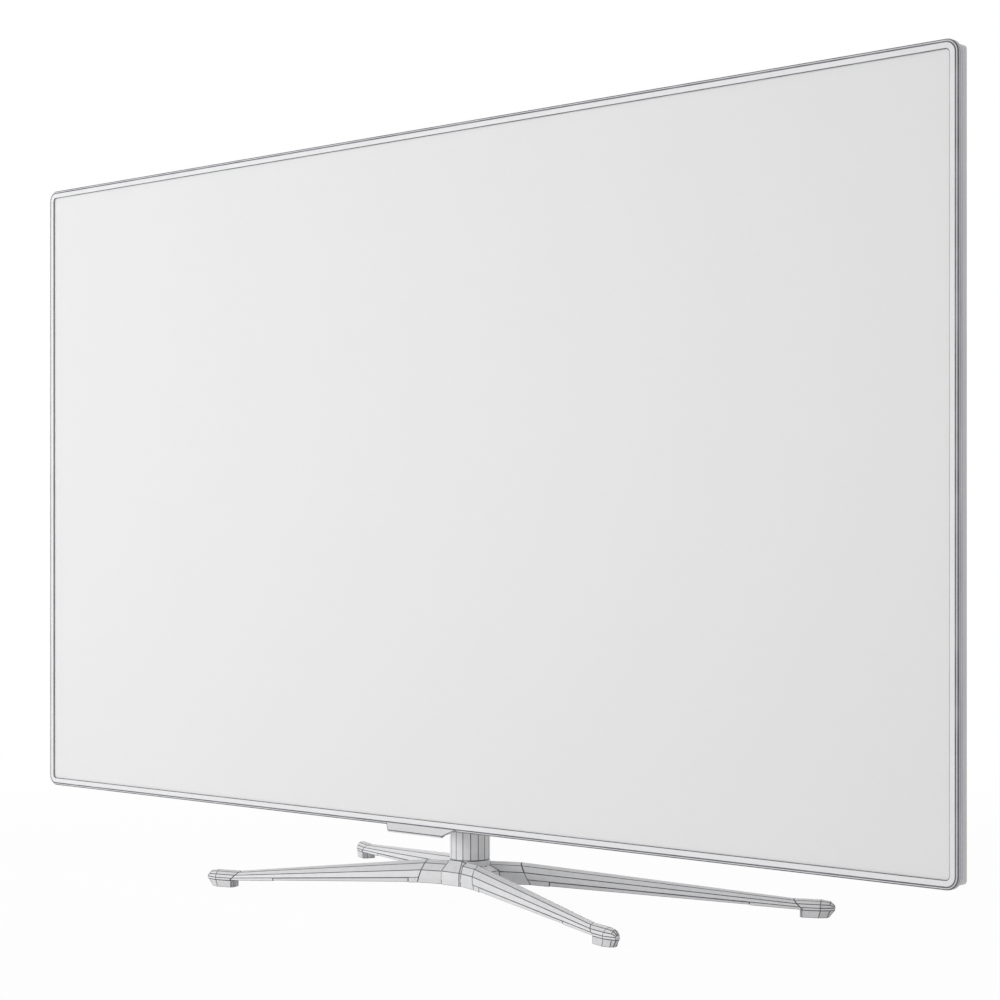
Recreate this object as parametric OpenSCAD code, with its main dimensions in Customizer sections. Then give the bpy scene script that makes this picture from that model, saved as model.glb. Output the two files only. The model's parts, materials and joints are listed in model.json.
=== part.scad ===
// Thin flat screen television on a four-leg swivel stand, in millimetres.
// Origin: on the floor, under the middle of the whole object. The picture faces -Y, +Z is up.

/* [Picture] */
// Width of the visible picture
picture_w = 1209.6; // [1120:0.1:1300]
// Height of the visible picture
picture_h = 680.4; // [660:0.1:690]
// Height of the picture's lower edge above the floor
picture_lift = 89.6; // [80:0.1:140]

/* [Front frame] */
// Width of the frame's flat front face
bezel_face = 6; // [5:0.1:9]
// Width of the bevel round the outside of the front face
bevel_w = 2.5; // [1.5:0.1:4]
// Depth of that bevel
bevel_d = 0.9; // [0.4:0.1:2]
// Depth of the bezel's side
bezel_depth = 3.3; // [3:0.1:5]
// Depth of the trim ring behind the bezel
trim_depth = 3.3; // [2.8:0.1:5]
// Thickness of the frame's side wall
frame_wall = 2; // [1.2:0.1:2.4]
// Thickness of the lip that laps the picture's edge
lip_t = 1.4; // [1:0.1:1.6]
// Outer corner radius of the frame
frame_r = 12; // [8:0.5:18]

/* [Panel stack] */
// Thickness of the foam gasket under the lip
gasket_t = 0.3; // [0.2:0.1:0.4]
// Thickness of the picture panel
panel_t = 1.6; // [1.2:0.1:1.8]
// Panel beyond the picture on each side
panel_border = 3; // [2:0.1:3.5]
// Thickness of the mid frame's ledge
ledge_t = 1; // [0.8:0.1:1.6]
// Thickness of one optical film
film_t = 0.3; // [0.2:0.1:0.5]
// Thickness of the light guide
guide_t = 3; // [2:0.1:4]
// Thickness of the reflector sheet
reflector_t = 0.2; // [0.1:0.1:0.5]
// Thickness of the back chassis
chassis_t = 1; // [0.8:0.1:1.5]
// Thickness of an LED bar's board
led_board_t = 0.8; // [0.6:0.1:1]
// Height of an LED package on its board
led_t = 0.7; // [0.4:0.1:0.8]

/* [Rear cover] */
// Step from the frame's side in to the cover's side
cover_inset = 3; // [2:0.1:3.4]
// Greatest radius of the cover's corners
cover_corner_r = 5; // [4.8:0.1:9]
// Thickness of the cover's side wall
cover_wall = 1.5; // [1.2:0.1:1.8]
// Thickness of the cover's back
cover_skin = 2; // [1.5:0.1:3]
// Depth from the front face to the back of the thin rim
rim_depth = 20.5; // [20:0.1:23]
// Bevel round the back edge of the rim
rim_bevel = 2; // [0.5:0.1:2.4]
// Depth from the front face to the back of the raised middle
full_depth = 31; // [30:0.1:36]
// Width of the raised middle
pod_w = 960; // [950:1:1000]
// Height of the raised middle
pod_h = 570; // [568:1:590]
// Height of the raised middle's lower edge over the picture's lower edge
pod_low = 30; // [28:1:36]
// Width of the slope round the raised middle
pod_slope = 16; // [8:1:18]

/* [Wall mount] */
// Bore radius of a wall-mount insert
vesa_r = 4.1; // [2.6:0.1:4.5]
// Outside radius of a wall-mount insert
vesa_post_r = 8; // [7:0.1:9]

/* [Neck] */
// Distance of the neck's axis behind the frame's front face
neck_setback = 71.5; // [69:0.1:84]
// Outside radius of the neck column
neck_r = 20.5; // [19:0.1:23]
// Wall of the neck column
neck_wall = 3; // [2:0.1:3.4]
// Swing to each side
swivel_range = 20; // [10:1:25]
// Radius of the swivel shaft
shaft_r = 10; // [8:0.1:10.5]
// Radius of the stop pin
stop_pin_r = 2; // [1.5:0.1:2.2]

/* [Stand] */
// Height of the hub's top above the floor
hub_top = 43.6; // [43:0.1:48]
// Height of the hub's side above the floor
hub_low = 24.3; // [22:0.1:25]
// Distance from the neck's axis to the hub's front facet
hub_apothem = 30; // [28:0.1:34]
// Thickness of the hub's lid and of the lips under the legs at their end caps
bottom_t = 2.5; // [1.5:0.1:3]
// Thickness of the lips under the legs at the hub
lip_root_t = 5; // [3:0.1:6]
// Height of the feet
foot_h = 7.4; // [6:0.1:9]
// Half width of a leg at the hub
leg_root_hw = 10.4; // [9.5:0.1:12]
// Half width of a leg at its end cap
leg_tip_hw = 8.3; // [7:0.1:9]
// Height of a front leg's cross-section at the hub
front_root_h = 18.2; // [16:0.1:19]
// Height of a rear leg's cross-section at the hub
rear_root_h = 16.6; // [15:0.1:19]
// Height of a leg's cross-section at its end cap
leg_tip_h = 7.6; // [6:0.1:10]
// Length of a leg's end cap
cap_len = 33; // [28:0.5:40]
// Distance ahead of the neck's axis where the front legs' lines meet
front_leg_off = 13.4; // [10:0.1:15]
// Angle of the front legs from the screen's plane
front_leg_angle = 18.2; // [14:0.1:24]
// Length of the front legs from where their lines meet
front_leg_len = 298; // [250:1:340]
// Where the front legs leave the hub, along their line
front_seam = 43; // [40:0.5:48]
// Distance behind the neck's axis where the rear legs' lines meet
rear_leg_off = 11; // [8:0.1:13]
// Angle of the rear legs from the screen's plane
rear_leg_angle = 24.9; // [22:0.1:32]
// Length of the rear legs from where their lines meet
rear_leg_len = 367; // [320:1:400]
// Where the rear legs leave the hub, along their line
rear_seam = 57; // [52:0.5:62]

/* [Boards and jacks] */
// Height of the bosses under the boards
boss_h = 4; // [3.5:0.1:4.5]
// Thickness of a circuit board
board_t = 1.6; // [1:0.1:1.8]
// Distance of the jack panel from the middle
jack_x = 400; // [396:1:410]
// Length of the jack well, away from the jack panel
well_len = 56; // [46:1:58]
// Height of the jack well
well_h = 196; // [194:1:210]
// Height of the power well
power_well_h = 60; // [50:1:64]

/* [Rear control] */
// Distance of the joystick from the middle
jog_x = 540; // [520:1:552]
// Height of the joystick over the picture's lower edge
jog_z = 90; // [60:1:140]
// Tilt of the joystick to each side
jog_tilt = 8; // [4:0.5:10]
// Travel of the joystick's push
jog_push = 0.8; // [0.4:0.1:1]
// Radius of the joystick's cap
jog_cap_r = 7.5; // [6:0.1:8]

/* [Hidden] */

// Clearances
fit = 0.4;          // loose fit of thin parts in the frame
slip = 0.2;         // hand-assembled parts
seam = 0.3;         // seam between a moving and a fixed part
run = 0.05;         // running fit of a shaft or pin
cut = 1;            // how far a cutting solid runs past a face
round_n = 48;       // facets that stand for a true circle

// Colours, after the photograph
pale_grey = "gainsboro";
mid_grey = "darkgray";
dark_grey = "dimgray";
steel = "silver";
board_green = "seagreen";

// Depths behind the front face, front to back
panel_y = lip_t + gasket_t;
frame_y = panel_y + panel_t;
film_y = frame_y + ledge_t;
film_count = 3;
guide_y = film_y + film_count * film_t;
reflector_y = guide_y + guide_t;
chassis_y = reflector_y + reflector_t;
inside_y = chassis_y + chassis_t;
cover_y = bezel_depth + trim_depth;
rim_in_y = rim_depth - cover_skin;
pod_in_y = full_depth - cover_skin;
board_y = inside_y + boss_h;
part_y = board_y + board_t;

// Outlines, outside to inside
vesa_pitch = 400;
frame_w = picture_w + 2 * (bezel_face + bevel_w);
frame_h = picture_h + 2 * (bezel_face + bevel_w);
frame_in_w = frame_w - 2 * frame_wall;
frame_in_h = frame_h - 2 * frame_wall;
cover_w = frame_w - 2 * cover_inset;
cover_h = frame_h - 2 * cover_inset;
cover_r = min(frame_r - cover_inset, cover_corner_r);
chassis_w = cover_w - 2 * (cover_wall + fit);
chassis_h = cover_h - 2 * (cover_wall + fit);
chassis_r = cover_r - cover_wall - fit;
chassis_wall = 0.8;
led_gap = 0.4;
guide_w = chassis_w - 2 * (chassis_wall + led_board_t + led_t + led_gap);
guide_h = chassis_h - 2 * (chassis_wall + fit);
sheet_r = max(1, chassis_r - chassis_wall - fit - 1);
panel_w = picture_w + 2 * panel_border;
panel_h = picture_h + 2 * panel_border;
// Round of the frame's inside that still clears the panel's square corners
panel_gap = (frame_in_w - panel_w) / 2;
pocket_r = min(frame_r - frame_wall, (sqrt(2) * panel_gap - seam) / (sqrt(2) - 1));
picture_lap = 0.5;

// Place of the display and the neck
cap_straight = 0.6;
cap_shoulder = 0.87;
cap_shoulder_hw = 0.56;
cap_nose_hw = 0.27;
function cap_steps(len) = [
    [len - cap_len, leg_tip_hw],
    [len - cap_len * (1 - cap_straight), leg_tip_hw],
    [len - cap_len * (1 - cap_shoulder), leg_tip_hw * cap_shoulder_hw],
    [len, leg_tip_hw * cap_nose_hw]
];
function reach(len, angle, off) =
    off + max([for (p = cap_steps(len)) p[0] * sin(angle) + p[1] * cos(angle)]);
front_reach = reach(front_leg_len, front_leg_angle, front_leg_off);
rear_reach = reach(rear_leg_len, rear_leg_angle, rear_leg_off);
neck_y = (front_reach - rear_reach) / 2;
front_y = neck_y - neck_setback;

// Cross-section of a leg: share of its half width, share of its height
leg_arch = [[-1, 0], [1, 0], [0.88, 0.44], [0.52, 0.82], [0, 1], [-0.52, 0.82], [-0.88, 0.44]];
leg_low = foot_h + bottom_t;
cap_lean = 8;
front_hub_lean = 6;
rear_hub_lean = 10;
cap_toe = cap_lean * bottom_t / leg_tip_h;
strip_inset = 0.6;
strip_recess = 0.6;
front_cover_from = 12;
rear_cover_from = 22.6;
cover_to = 50;
hub_draft = 0.8;
octagon_t = 0.5;
octagon_turn = 22.5;
tenon_len = 16;
tenon_w = 10;
tenon_h = 8;
tenon_rise = 4;

// Swivel, bottom to top
bush_r = shaft_r + 2.5;
bush_flange_t = 1.5;
thrust_t = 1;
flange_r = neck_r - neck_wall;
flange_z = hub_top + bush_flange_t + thrust_t;
flange_t = 8;
cavity_r = 23;
cavity_top = hub_low + 9;
wave_t = 1.2;
stop_plate_t = 2;
nut_t = 4;
stop_path_r = cavity_r - 6;
stop_plate_r = cavity_r - 1.5;
nut_r = shaft_r + 4;
wave_z = cavity_top - wave_t;
stop_plate_z = wave_z - stop_plate_t;
nut_z = stop_plate_z - nut_t;
stop_pin_top = cavity_top + 5;
wave_r = shaft_r + 3;
hub_lid_r = cavity_r + 2;

// Neck bracket on the back of the display
bracket_w = 170;
bracket_h = 130;
bracket_t = 6;
bracket_r = 10;
bracket_z = pod_low + pod_slope + 4 + bracket_h / 2;
bracket_pitch_x = 120;
bracket_pitch_z = 84;
sleeve_r = neck_r + 5.5;
web_w = 38;
neck_screw_r = 3;
neck_head_r = 5.5;
neck_head_t = 4;
set_screw_r = 2.5;
set_head_r = 4.5;
set_head_t = 3;
set_boss_r = 7;
set_screw_off = 36;
neck_cap_t = 4;
neck_cap_plug = 6;
bracket_back = full_depth + bracket_t;
set_seat_y = neck_setback + sleeve_r + 1;
post_r = neck_head_r + 2.5;
post_plate_t = 2;
post_floor = inside_y + 5;

// Fasteners through the rear cover
cover_post_r = 4.5;
cover_screw_r = 1.5;
cover_head_r = 3.2;
cover_head_t = 2.2;
head_seat_y = rim_depth - cover_head_t - 0.5;
edge_screw_in = 22;
cover_screw_at = concat(
    [for (k = [-2 : 2]) [k * (cover_w / 4 - edge_screw_in), picture_h - edge_screw_in]],
    [for (s = [-1, 1], z = [0.27, 0.63]) [s * (cover_w / 2 - edge_screw_in), z * picture_h]],
    [for (s = [-1, 1], x = [0.12, 0.46]) [s * x * cover_w, edge_screw_in - 8]]
);

// Boards, over the lower wall-mount posts: left, right, low and high edge over the picture's lower edge
jack_t = 1.5;
insert_flange_r = vesa_post_r + 4;
board_clear = 15.8;
board_low = picture_h / 2 - vesa_pitch / 2 + insert_flange_r + board_clear;
board_edge = 10;
main_w = 218;
main_h = 222;
power_w = 230;
power_h = 232;
timing_w = 220;
timing_h = 46;
main_rect = [jack_x - board_edge - main_w, jack_x - board_edge, board_low, board_low + main_h];
power_rect = [board_edge - jack_x, board_edge - jack_x + power_w, board_low, board_low + power_h];
timing_clear = 2;
timing_top = picture_h - edge_screw_in - cover_post_r - timing_clear;
timing_rect = [-timing_w / 2, timing_w / 2, timing_top - timing_h, timing_top];
board_hole_in = 6;
boss_r = 3.5;
board_screw_r = 1.5;
board_head_r = 3;
board_head_t = 1.8;
function corners(b) = [
    for (x = [b[0] + board_hole_in, b[1] - board_hole_in], z = [b[2] + board_hole_in, b[3] - board_hole_in])
        [x, z]
];
board_corners = concat(corners(main_rect), corners(power_rect), corners(timing_rect));

// Wells for plugs: the floor lies just over the boards' bosses
well_floor_t = 1.5;
well_floor = inside_y + 1.5 + well_floor_t;
jack_face = jack_x + jack_t;
well_rise = 104;
power_well_drop = 48;
jack_shift = 1;
network_rise = 182;
hdmi_rise = 156;
hdmi_pitch = 25;
usb_rise = 82;
usb_pitch = 21;
aerial_rise = 28;
well_z = board_low + well_rise;
power_well_z = board_low - power_well_drop;
hdmi_z = [for (k = [0 : 2]) board_low + hdmi_rise - k * hdmi_pitch];
usb_z = [for (k = [0 : 1]) board_low + usb_rise - k * usb_pitch];
network_z = board_low + network_rise;
aerial_z = board_low + aerial_rise;

// Rear control
jog_pivot_y = rim_depth - 4;
jog_wall = 1.8;
jog_cup_r = 10.2;
jog_ring_r = 8.6;
jog_ring_in = 6.2;
jog_ring_t = 3;
jog_pin_r = 1;
jog_stick_r = 4;
jog_neck_r = 3;
jog_flange_r = 15;
jog_flange_t = 1;
jog_floor_y = jog_pivot_y - 6;
jog_cap_y = rim_depth + jog_flange_t + 2.2;
jog_cap_t = 4.5;
jog_stick_end = jog_cap_y + 2;
jog_bore_wall = 0.4;
jog_cup_out = jog_cup_r + jog_wall;
jog_pin_end = jog_cup_r + 1;
jog_stick_pin = jog_ring_r - 0.6;
jog_tail = 3;
jog_floor_t = 1;
jog_cap_step = 1;

// Tab under the picture: sloping plate
tab_top_hw = 48.6;
tab_low_hw = 37.7;
tab_t = 2.6;
tab_flange_t = 1.3;
tab_top_y = -1;
tab_low_y = -10;
tab_low_z = -12.6;
housing_w = 44;
housing_h = 5;
housing_wall = 0.8;
sensor_board_t = 1;

// Display frame: x from the middle, y behind the front face, z over the picture's lower edge
module display() translate([0, front_y, picture_lift]) children();

// Rectangle with true round corners
module rounded(w, h, r) {
    square([w - 2 * r, h], center = true);
    square([w, h - 2 * r], center = true);
    for (sx = [-1, 1], sz = [-1, 1])
        translate([sx * (w / 2 - r), sz * (h / 2 - r)]) circle(r, $fn = round_n);
}

// Upright extrusion of a flat outline from depth y0 to y1
module upright(y0, y1, z = picture_h / 2, x = 0)
    translate([x, y1, z]) rotate([90, 0, 0]) linear_extrude(y1 - y0) children();

// Upright plate, and upright ring round an opening
module plate(w, h, r, y0, y1, z = picture_h / 2, x = 0) upright(y0, y1, z, x) rounded(w, h, r);
module ring(w, h, r, in_w, in_h, in_r, y0, y1) upright(y0, y1) difference() {
    rounded(w, h, r);
    if (in_r > 0) rounded(in_w, in_h, in_r);
    else square([in_w, in_h], center = true);
}

// Box from two corners, and a rod along Y or X
module block(x0, x1, y0, y1, z0, z1) translate([x0, y0, z0]) cube([x1 - x0, y1 - y0, z1 - z0]);
module rod_y(x, z, r, y0, y1)
    translate([x, y0, z]) rotate([-90, 0, 0]) cylinder(r = r, h = y1 - y0, $fn = round_n);
module rod_x(y, z, r, x0, x1)
    translate([x0, y, z]) rotate([0, 90, 0]) cylinder(r = r, h = x1 - x0, $fn = round_n);

// Block whose four sides slope evenly from one rectangle to another
module sloped(w0, h0, w1, h1, y0, y1, z) intersection() {
    translate([0, 0, z - max(h0, h1) / 2]) linear_extrude(max(h0, h1))
        polygon([[-w0 / 2, y0], [w0 / 2, y0], [w1 / 2, y1], [-w1 / 2, y1]]);
    translate([-max(w0, w1) / 2, 0, 0]) rotate([90, 0, 90]) linear_extrude(max(w0, w1))
        polygon([[y0, z - h0 / 2], [y0, z + h0 / 2], [y1, z + h1 / 2], [y1, z - h1 / 2]]);
}

// Solid through a row of rings that all have as many points
module loft(rings) {
    n = len(rings[0]);
    last = len(rings) - 1;
    points = [for (r = rings, p = r) p];
    sides = [
        for (k = [0 : last - 1], i = [0 : n - 1])
            let (j = (i + 1) % n, a = k * n + i, b = k * n + j, c = a + n, d = b + n)
                each [[a, c, b], [b, c, d]]
    ];
    ends = [[for (i = [0 : n - 1]) i], [for (i = [n - 1 : -1 : 0]) last * n + i]];
    polyhedron(points, concat(sides, ends));
}

// Leg frame: x runs out along the leg from where the pair's lines meet, z is up
module on_leg(front, side) mirror([side < 0 ? 1 : 0, 0, 0])
    translate([0, neck_y + (front ? -front_leg_off : rear_leg_off), 0])
        rotate([0, 0, front ? -front_leg_angle : rear_leg_angle]) children();
function leg_len(front) = front ? front_leg_len : rear_leg_len;
function leg_seam(front) = front ? front_seam : rear_seam;
function leg_root_h(front) = front ? front_root_h : rear_root_h;

// A leg keeps its section inside the hub and then tapers to its end cap
function leg_share(front, x) =
    max(0, (x - leg_seam(front)) / (leg_len(front) - cap_len - leg_seam(front)));
function leg_hw(front, x) = leg_root_hw + leg_share(front, x) * (leg_tip_hw - leg_root_hw);
function leg_bottom(front, x) = hub_low + leg_share(front, x) * (leg_low - hub_low);
function leg_h(front, x) = leg_root_h(front) + leg_share(front, x) * (leg_tip_h - leg_root_h(front));
function lip_t_at(front, x) = lip_root_t + leg_share(front, x) * (bottom_t - lip_root_t);
function cover_start(front) = leg_seam(front) + (front ? front_cover_from : rear_cover_from);
function arch_point(p, x, hw, low, h, lean) = [x - lean * p[1], p[0] * hw, low + p[1] * h];
function leg_ring(front, x, at = 0, lean = 0) = [
    for (p = leg_arch)
        arch_point(p, x + at, leg_hw(front, x), leg_bottom(front, x), leg_h(front, x), lean)
];
function cap_ring(x, hw, h, lean = 0, toe = 0) = concat(
    [[x + toe, -hw, foot_h], [x + toe, hw, foot_h]],
    [for (k = [1 : len(leg_arch)]) arch_point(leg_arch[k % len(leg_arch)], x, hw, leg_low, h, lean)]
);
// Strip under a leg, let in by recess; it may rise into the leg, and rate leans its end
function strip_ring(front, x, recess = 0, rise = 0, rate = 0) =
    let (
        t = lip_t_at(front, x) - recess, hw = leg_hw(front, x) - strip_inset, z = leg_bottom(front, x),
        low_x = x + rate * t, high_x = x - rate * rise
    )
        [[low_x, -hw, z - t], [low_x, hw, z - t], [high_x, hw, z + rise], [high_x, -hw, z + rise]];
function hub_lean(front) = front ? front_hub_lean : rear_hub_lean;
function hub_rate(front) = hub_lean(front) / leg_root_h(front);
function foot_ring(x, hw, top, slope = 0) =
    [[x - slope, -hw, 0], [x - slope, hw, 0], [x, hw, top], [x, -hw, top]];

// Lips under a leg's two ends, between which its bottom cover lies
module leg_lips(front) {
    end = leg_len(front) - cap_len;
    loft([
        strip_ring(front, leg_seam(front) + seam, 0, cut, hub_rate(front)),
        strip_ring(front, cover_start(front), 0, cut)
    ]);
    loft([strip_ring(front, end - cover_to, 0, cut), strip_ring(front, end, 0, cut, cap_lean / leg_tip_h)]);
}

module leg(front, side) on_leg(front, side) difference() {
    union() {
        loft([
            leg_ring(front, leg_seam(front), seam, hub_lean(front)),
            leg_ring(front, leg_len(front) - cap_len, 0, cap_lean)
        ]);
        leg_lips(front);
        translate([leg_seam(front) - tenon_len, -tenon_w / 2, hub_low + tenon_rise])
            cube([tenon_len + cut, tenon_w, tenon_h]);
    }
    translate([leg_seam(front) - tenon_len / 2, 0, hub_low])
        cylinder(r = cover_screw_r + run, h = tenon_rise + tenon_h - cut, $fn = round_n);
}

module base_hub() color(pale_grey) difference() {
    union() {
        hull() {
            octagon(hub_apothem, hub_low);
            octagon(hub_apothem - hub_draft, hub_low + leg_arch[2][1] * front_root_h);
            hub_ridge();
        }
        octagon(hub_apothem - strip_inset, hub_low - lip_root_t, lip_root_t + octagon_t);
        translate([0, neck_y, hub_low]) cylinder(r = neck_r, h = hub_top - hub_low, $fn = round_n);
        for (front = [true, false], side = [-1, 1]) on_leg(front, side) {
            loft([leg_ring(front, 0), leg_ring(front, leg_seam(front), 0, hub_lean(front))]);
            loft([
                strip_ring(front, 0, 0, cut),
                strip_ring(front, leg_seam(front), 0, cut, hub_rate(front))
            ]);
        }
    }
    translate([0, neck_y, 0]) {
        translate([0, 0, hub_low - cut])
            cylinder(r = cavity_r, h = cavity_top - hub_low + cut, $fn = round_n);
        translate([0, 0, hub_low - lip_root_t - cut])
            cylinder(r = hub_lid_r + slip, h = lip_root_t + cut, $fn = round_n);
        cylinder(r = bush_r, h = hub_top + cut, $fn = round_n);
        translate([stop_path_r, 0, 0]) cylinder(r = stop_pin_r, h = stop_pin_top, $fn = round_n);
    }
    for (front = [true, false], side = [-1, 1]) on_leg(front, side) {
        translate([leg_seam(front) - tenon_len - slip, -tenon_w / 2 - slip, hub_low + tenon_rise - slip])
            cube([tenon_len + slip + cut, tenon_w + 2 * slip, tenon_h + 2 * slip]);
        translate([leg_seam(front) - tenon_len / 2, 0, hub_low - cut])
            cylinder(r = cover_screw_r + slip, h = tenon_rise + 2 * cut, $fn = round_n);
        translate([leg_seam(front) - tenon_len / 2, 0, hub_low - lip_root_t - cut])
            cylinder(r = cover_head_r + slip, h = cut + lip_root_t + cover_head_t, $fn = round_n);
    }
}
module octagon(apothem, z, h = octagon_t) translate([0, neck_y, z]) rotate([0, 0, octagon_turn])
    cylinder(r = apothem / cos(octagon_turn), h = h, $fn = 8);
// The hub rises to the neck's seat between the front legs, and falls away beside and behind it
module hub_ridge() {
    half_w = (neck_r + seam) * tan(octagon_turn);
    translate([-half_w, neck_y - neck_r - seam, hub_top - octagon_t])
        cube([2 * half_w, neck_r + seam, octagon_t]);
}

module leg_front_left() color(pale_grey) leg(true, -1);
module leg_front_right() color(pale_grey) leg(true, 1);
module leg_rear_left() color(pale_grey) leg(false, -1);
module leg_rear_right() color(pale_grey) leg(false, 1);

// The cap carries the leg's arch on, rounds off in plan and down to its nose, and covers the foot's top
cap_falls = [0, 0, 1.2, 5.2];
module leg_end_caps() color(pale_grey) for (front = [true, false], side = [-1, 1]) on_leg(front, side) {
    steps = cap_steps(leg_len(front));
    first = cap_ring(steps[0][0] + seam, leg_tip_hw, leg_tip_h, cap_lean, cap_toe);
    loft(concat([first], [
        for (k = [1 : len(steps) - 1]) cap_ring(steps[k][0], steps[k][1], leg_tip_h - cap_falls[k])
    ]));
}

// Plate let in under a leg between its two lips
module leg_bottom_covers() color(mid_grey) for (front = [true, false], side = [-1, 1]) on_leg(front, side)
    loft([
        strip_ring(front, cover_start(front) + seam, strip_recess),
        strip_ring(front, leg_len(front) - cap_len - cover_to - seam, strip_recess)
    ]);

// A foot starts in a round end under the leg's lip, and slopes in towards the floor under the cap's nose
foot_lap = 1.4;
foot_round = 3;
foot_turn = 22.5;
foot_slopes = [0, 2, 3, 6];
module rubber_feet() color(dark_grey) for (front = [true, false], side = [-1, 1]) on_leg(front, side) {
    steps = cap_steps(leg_len(front));
    hw = leg_tip_hw - strip_inset;
    loft(concat(
        [
            for (turn = [foot_turn : foot_turn : 90])
                let (x = steps[0][0] - foot_lap + foot_round * (1 - cos(turn)))
                    foot_ring(x, hw * sin(turn), leg_bottom(front, x) - lip_t_at(front, x) - run)
        ],
        [foot_ring(steps[0][0] + seam + cap_toe, hw, foot_h - run)],
        [
            for (k = [1 : len(steps) - 1])
                foot_ring(steps[k][0], steps[k][1] - strip_inset, foot_h - run, foot_slopes[k])
        ]
    ));
}

module leg_screws() color(steel) for (front = [true, false], side = [-1, 1]) on_leg(front, side)
    translate([leg_seam(front) - tenon_len / 2, 0, hub_low]) {
        cylinder(r = cover_head_r, h = cover_head_t, $fn = round_n);
        cylinder(r = cover_screw_r, h = tenon_rise + tenon_h - 2 * cut, $fn = round_n);
    }

module hub_bottom_cover() color(mid_grey) translate([0, neck_y, hub_low - bottom_t])
    cylinder(r = hub_lid_r, h = bottom_t, $fn = round_n);

module swivel_bush() color("goldenrod") translate([0, neck_y, 0]) difference() {
    union() {
        translate([0, 0, cavity_top]) cylinder(r = bush_r, h = hub_top - cavity_top, $fn = round_n);
        translate([0, 0, hub_top]) cylinder(r = flange_r - seam, h = bush_flange_t, $fn = round_n);
    }
    cylinder(r = shaft_r + run, h = flange_z, $fn = round_n);
}

module swivel_stop_pin() color(steel) translate([stop_path_r, neck_y, nut_z + cut])
    cylinder(r = stop_pin_r, h = stop_pin_top - nut_z - cut, $fn = round_n);

module thrust_washer() color("whitesmoke") translate([0, neck_y, hub_top + bush_flange_t]) difference() {
    cylinder(r = flange_r - seam, h = thrust_t, $fn = round_n);
    translate([0, 0, -cut]) cylinder(r = shaft_r + seam, h = thrust_t + 2 * cut, $fn = round_n);
}

module swivel_shaft() color(steel) translate([0, neck_y, 0]) {
    translate([0, 0, nut_z]) cylinder(r = shaft_r, h = flange_z - nut_z + cut, $fn = round_n);
    translate([0, 0, flange_z]) cylinder(r = flange_r - run, h = flange_t, $fn = round_n);
}

// The pin stands in this plate's arc slot and ends the swing
module swivel_stop_plate() color(steel) translate([0, neck_y, stop_plate_z]) linear_extrude(stop_plate_t)
    difference() {
        circle(stop_plate_r, $fn = round_n);
        circle(shaft_r + run, $fn = round_n);
        arc_slot(stop_path_r, stop_pin_r + seam, swivel_range);
    }
module arc_slot(path_r, half_w, swing) {
    end = swing + asin(half_w / path_r);
    reach = 2 * (path_r + half_w);
    intersection() {
        difference() {
            circle(path_r + half_w, $fn = round_n);
            circle(path_r - half_w, $fn = round_n);
        }
        polygon([[0, 0], reach * [cos(end), -sin(end)], reach * [cos(end), sin(end)]]);
    }
}

module wave_washer() color(steel) translate([0, neck_y, wave_z]) difference() {
    cylinder(r = wave_r, h = wave_t, $fn = round_n);
    translate([0, 0, -cut]) cylinder(r = shaft_r + run, h = wave_t + 2 * cut, $fn = round_n);
}

module swivel_nut() color(steel) translate([0, neck_y, nut_z]) difference() {
    cylinder(r = nut_r, h = nut_t, $fn = 6);
    translate([0, 0, -cut]) cylinder(r = shaft_r + run, h = nut_t + 2 * cut, $fn = round_n);
}

module neck_column() color(pale_grey) {
    low = hub_top + seam;
    high = picture_lift + bracket_z + bracket_h / 2 - neck_cap_plug - cut;
    difference() {
        translate([0, neck_y, low]) cylinder(r = neck_r, h = high - low, $fn = round_n);
        translate([0, neck_y, low - cut]) cylinder(r = flange_r, h = high - low + 2 * cut, $fn = round_n);
        display() set_screw_holes(set_screw_r + run, neck_setback, neck_setback + neck_r + cut);
    }
}

// Plate on the back of the display with a sleeve for the column
module neck_bracket() color(mid_grey) display() {
    low = bracket_z - bracket_h / 2;
    difference() {
        union() {
            plate(bracket_w, bracket_h, bracket_r, full_depth, bracket_back, bracket_z);
            block(-web_w / 2, web_w / 2, bracket_back, neck_setback, low, low + bracket_h);
            translate([0, neck_setback, low]) cylinder(r = sleeve_r, h = bracket_h, $fn = round_n);
            set_screw_holes(set_boss_r, neck_setback, set_seat_y);
        }
        translate([0, neck_setback, low - cut])
            cylinder(r = neck_r + run, h = bracket_h + 2 * cut, $fn = round_n);
        bracket_holes(neck_screw_r + slip, full_depth - cut, bracket_back + cut);
        bracket_holes(neck_head_r + slip, bracket_back - neck_head_t, bracket_back + cut);
        set_screw_holes(set_screw_r + run, neck_setback, set_seat_y + cut);
    }
}
module bracket_holes(r, y0, y1) for (sx = [-1, 1], sz = [-1, 1])
    rod_y(sx * bracket_pitch_x / 2, bracket_z + sz * bracket_pitch_z / 2, r, y0, y1);
module set_screw_holes(r, y0, y1) for (s = [-1, 1]) rod_y(0, bracket_z + s * set_screw_off, r, y0, y1);

module neck_cap() color(mid_grey) display() translate([0, neck_setback, bracket_z + bracket_h / 2]) {
    cylinder(r = sleeve_r, h = neck_cap_t, $fn = round_n);
    translate([0, 0, -neck_cap_plug]) cylinder(r = neck_r - slip, h = neck_cap_plug + cut, $fn = round_n);
}

module neck_screws() color(steel) display() {
    bracket_holes(neck_head_r, bracket_back - neck_head_t, bracket_back);
    bracket_holes(neck_screw_r, post_floor + cut, bracket_back);
    set_screw_holes(set_head_r, set_seat_y, set_seat_y + set_head_t);
    set_screw_holes(set_screw_r, neck_setback + flange_r + cut, set_seat_y + cut);
}

// Steel plate on the chassis with a threaded post behind each neck screw
module stand_bracket() color(steel) display() difference() {
    union() {
        plate(bracket_w, bracket_h, bracket_r, inside_y, inside_y + post_plate_t, bracket_z);
        bracket_holes(post_r, inside_y, pod_in_y);
    }
    bracket_holes(neck_screw_r + 2 * run, post_floor, pod_in_y + cut);
}

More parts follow.
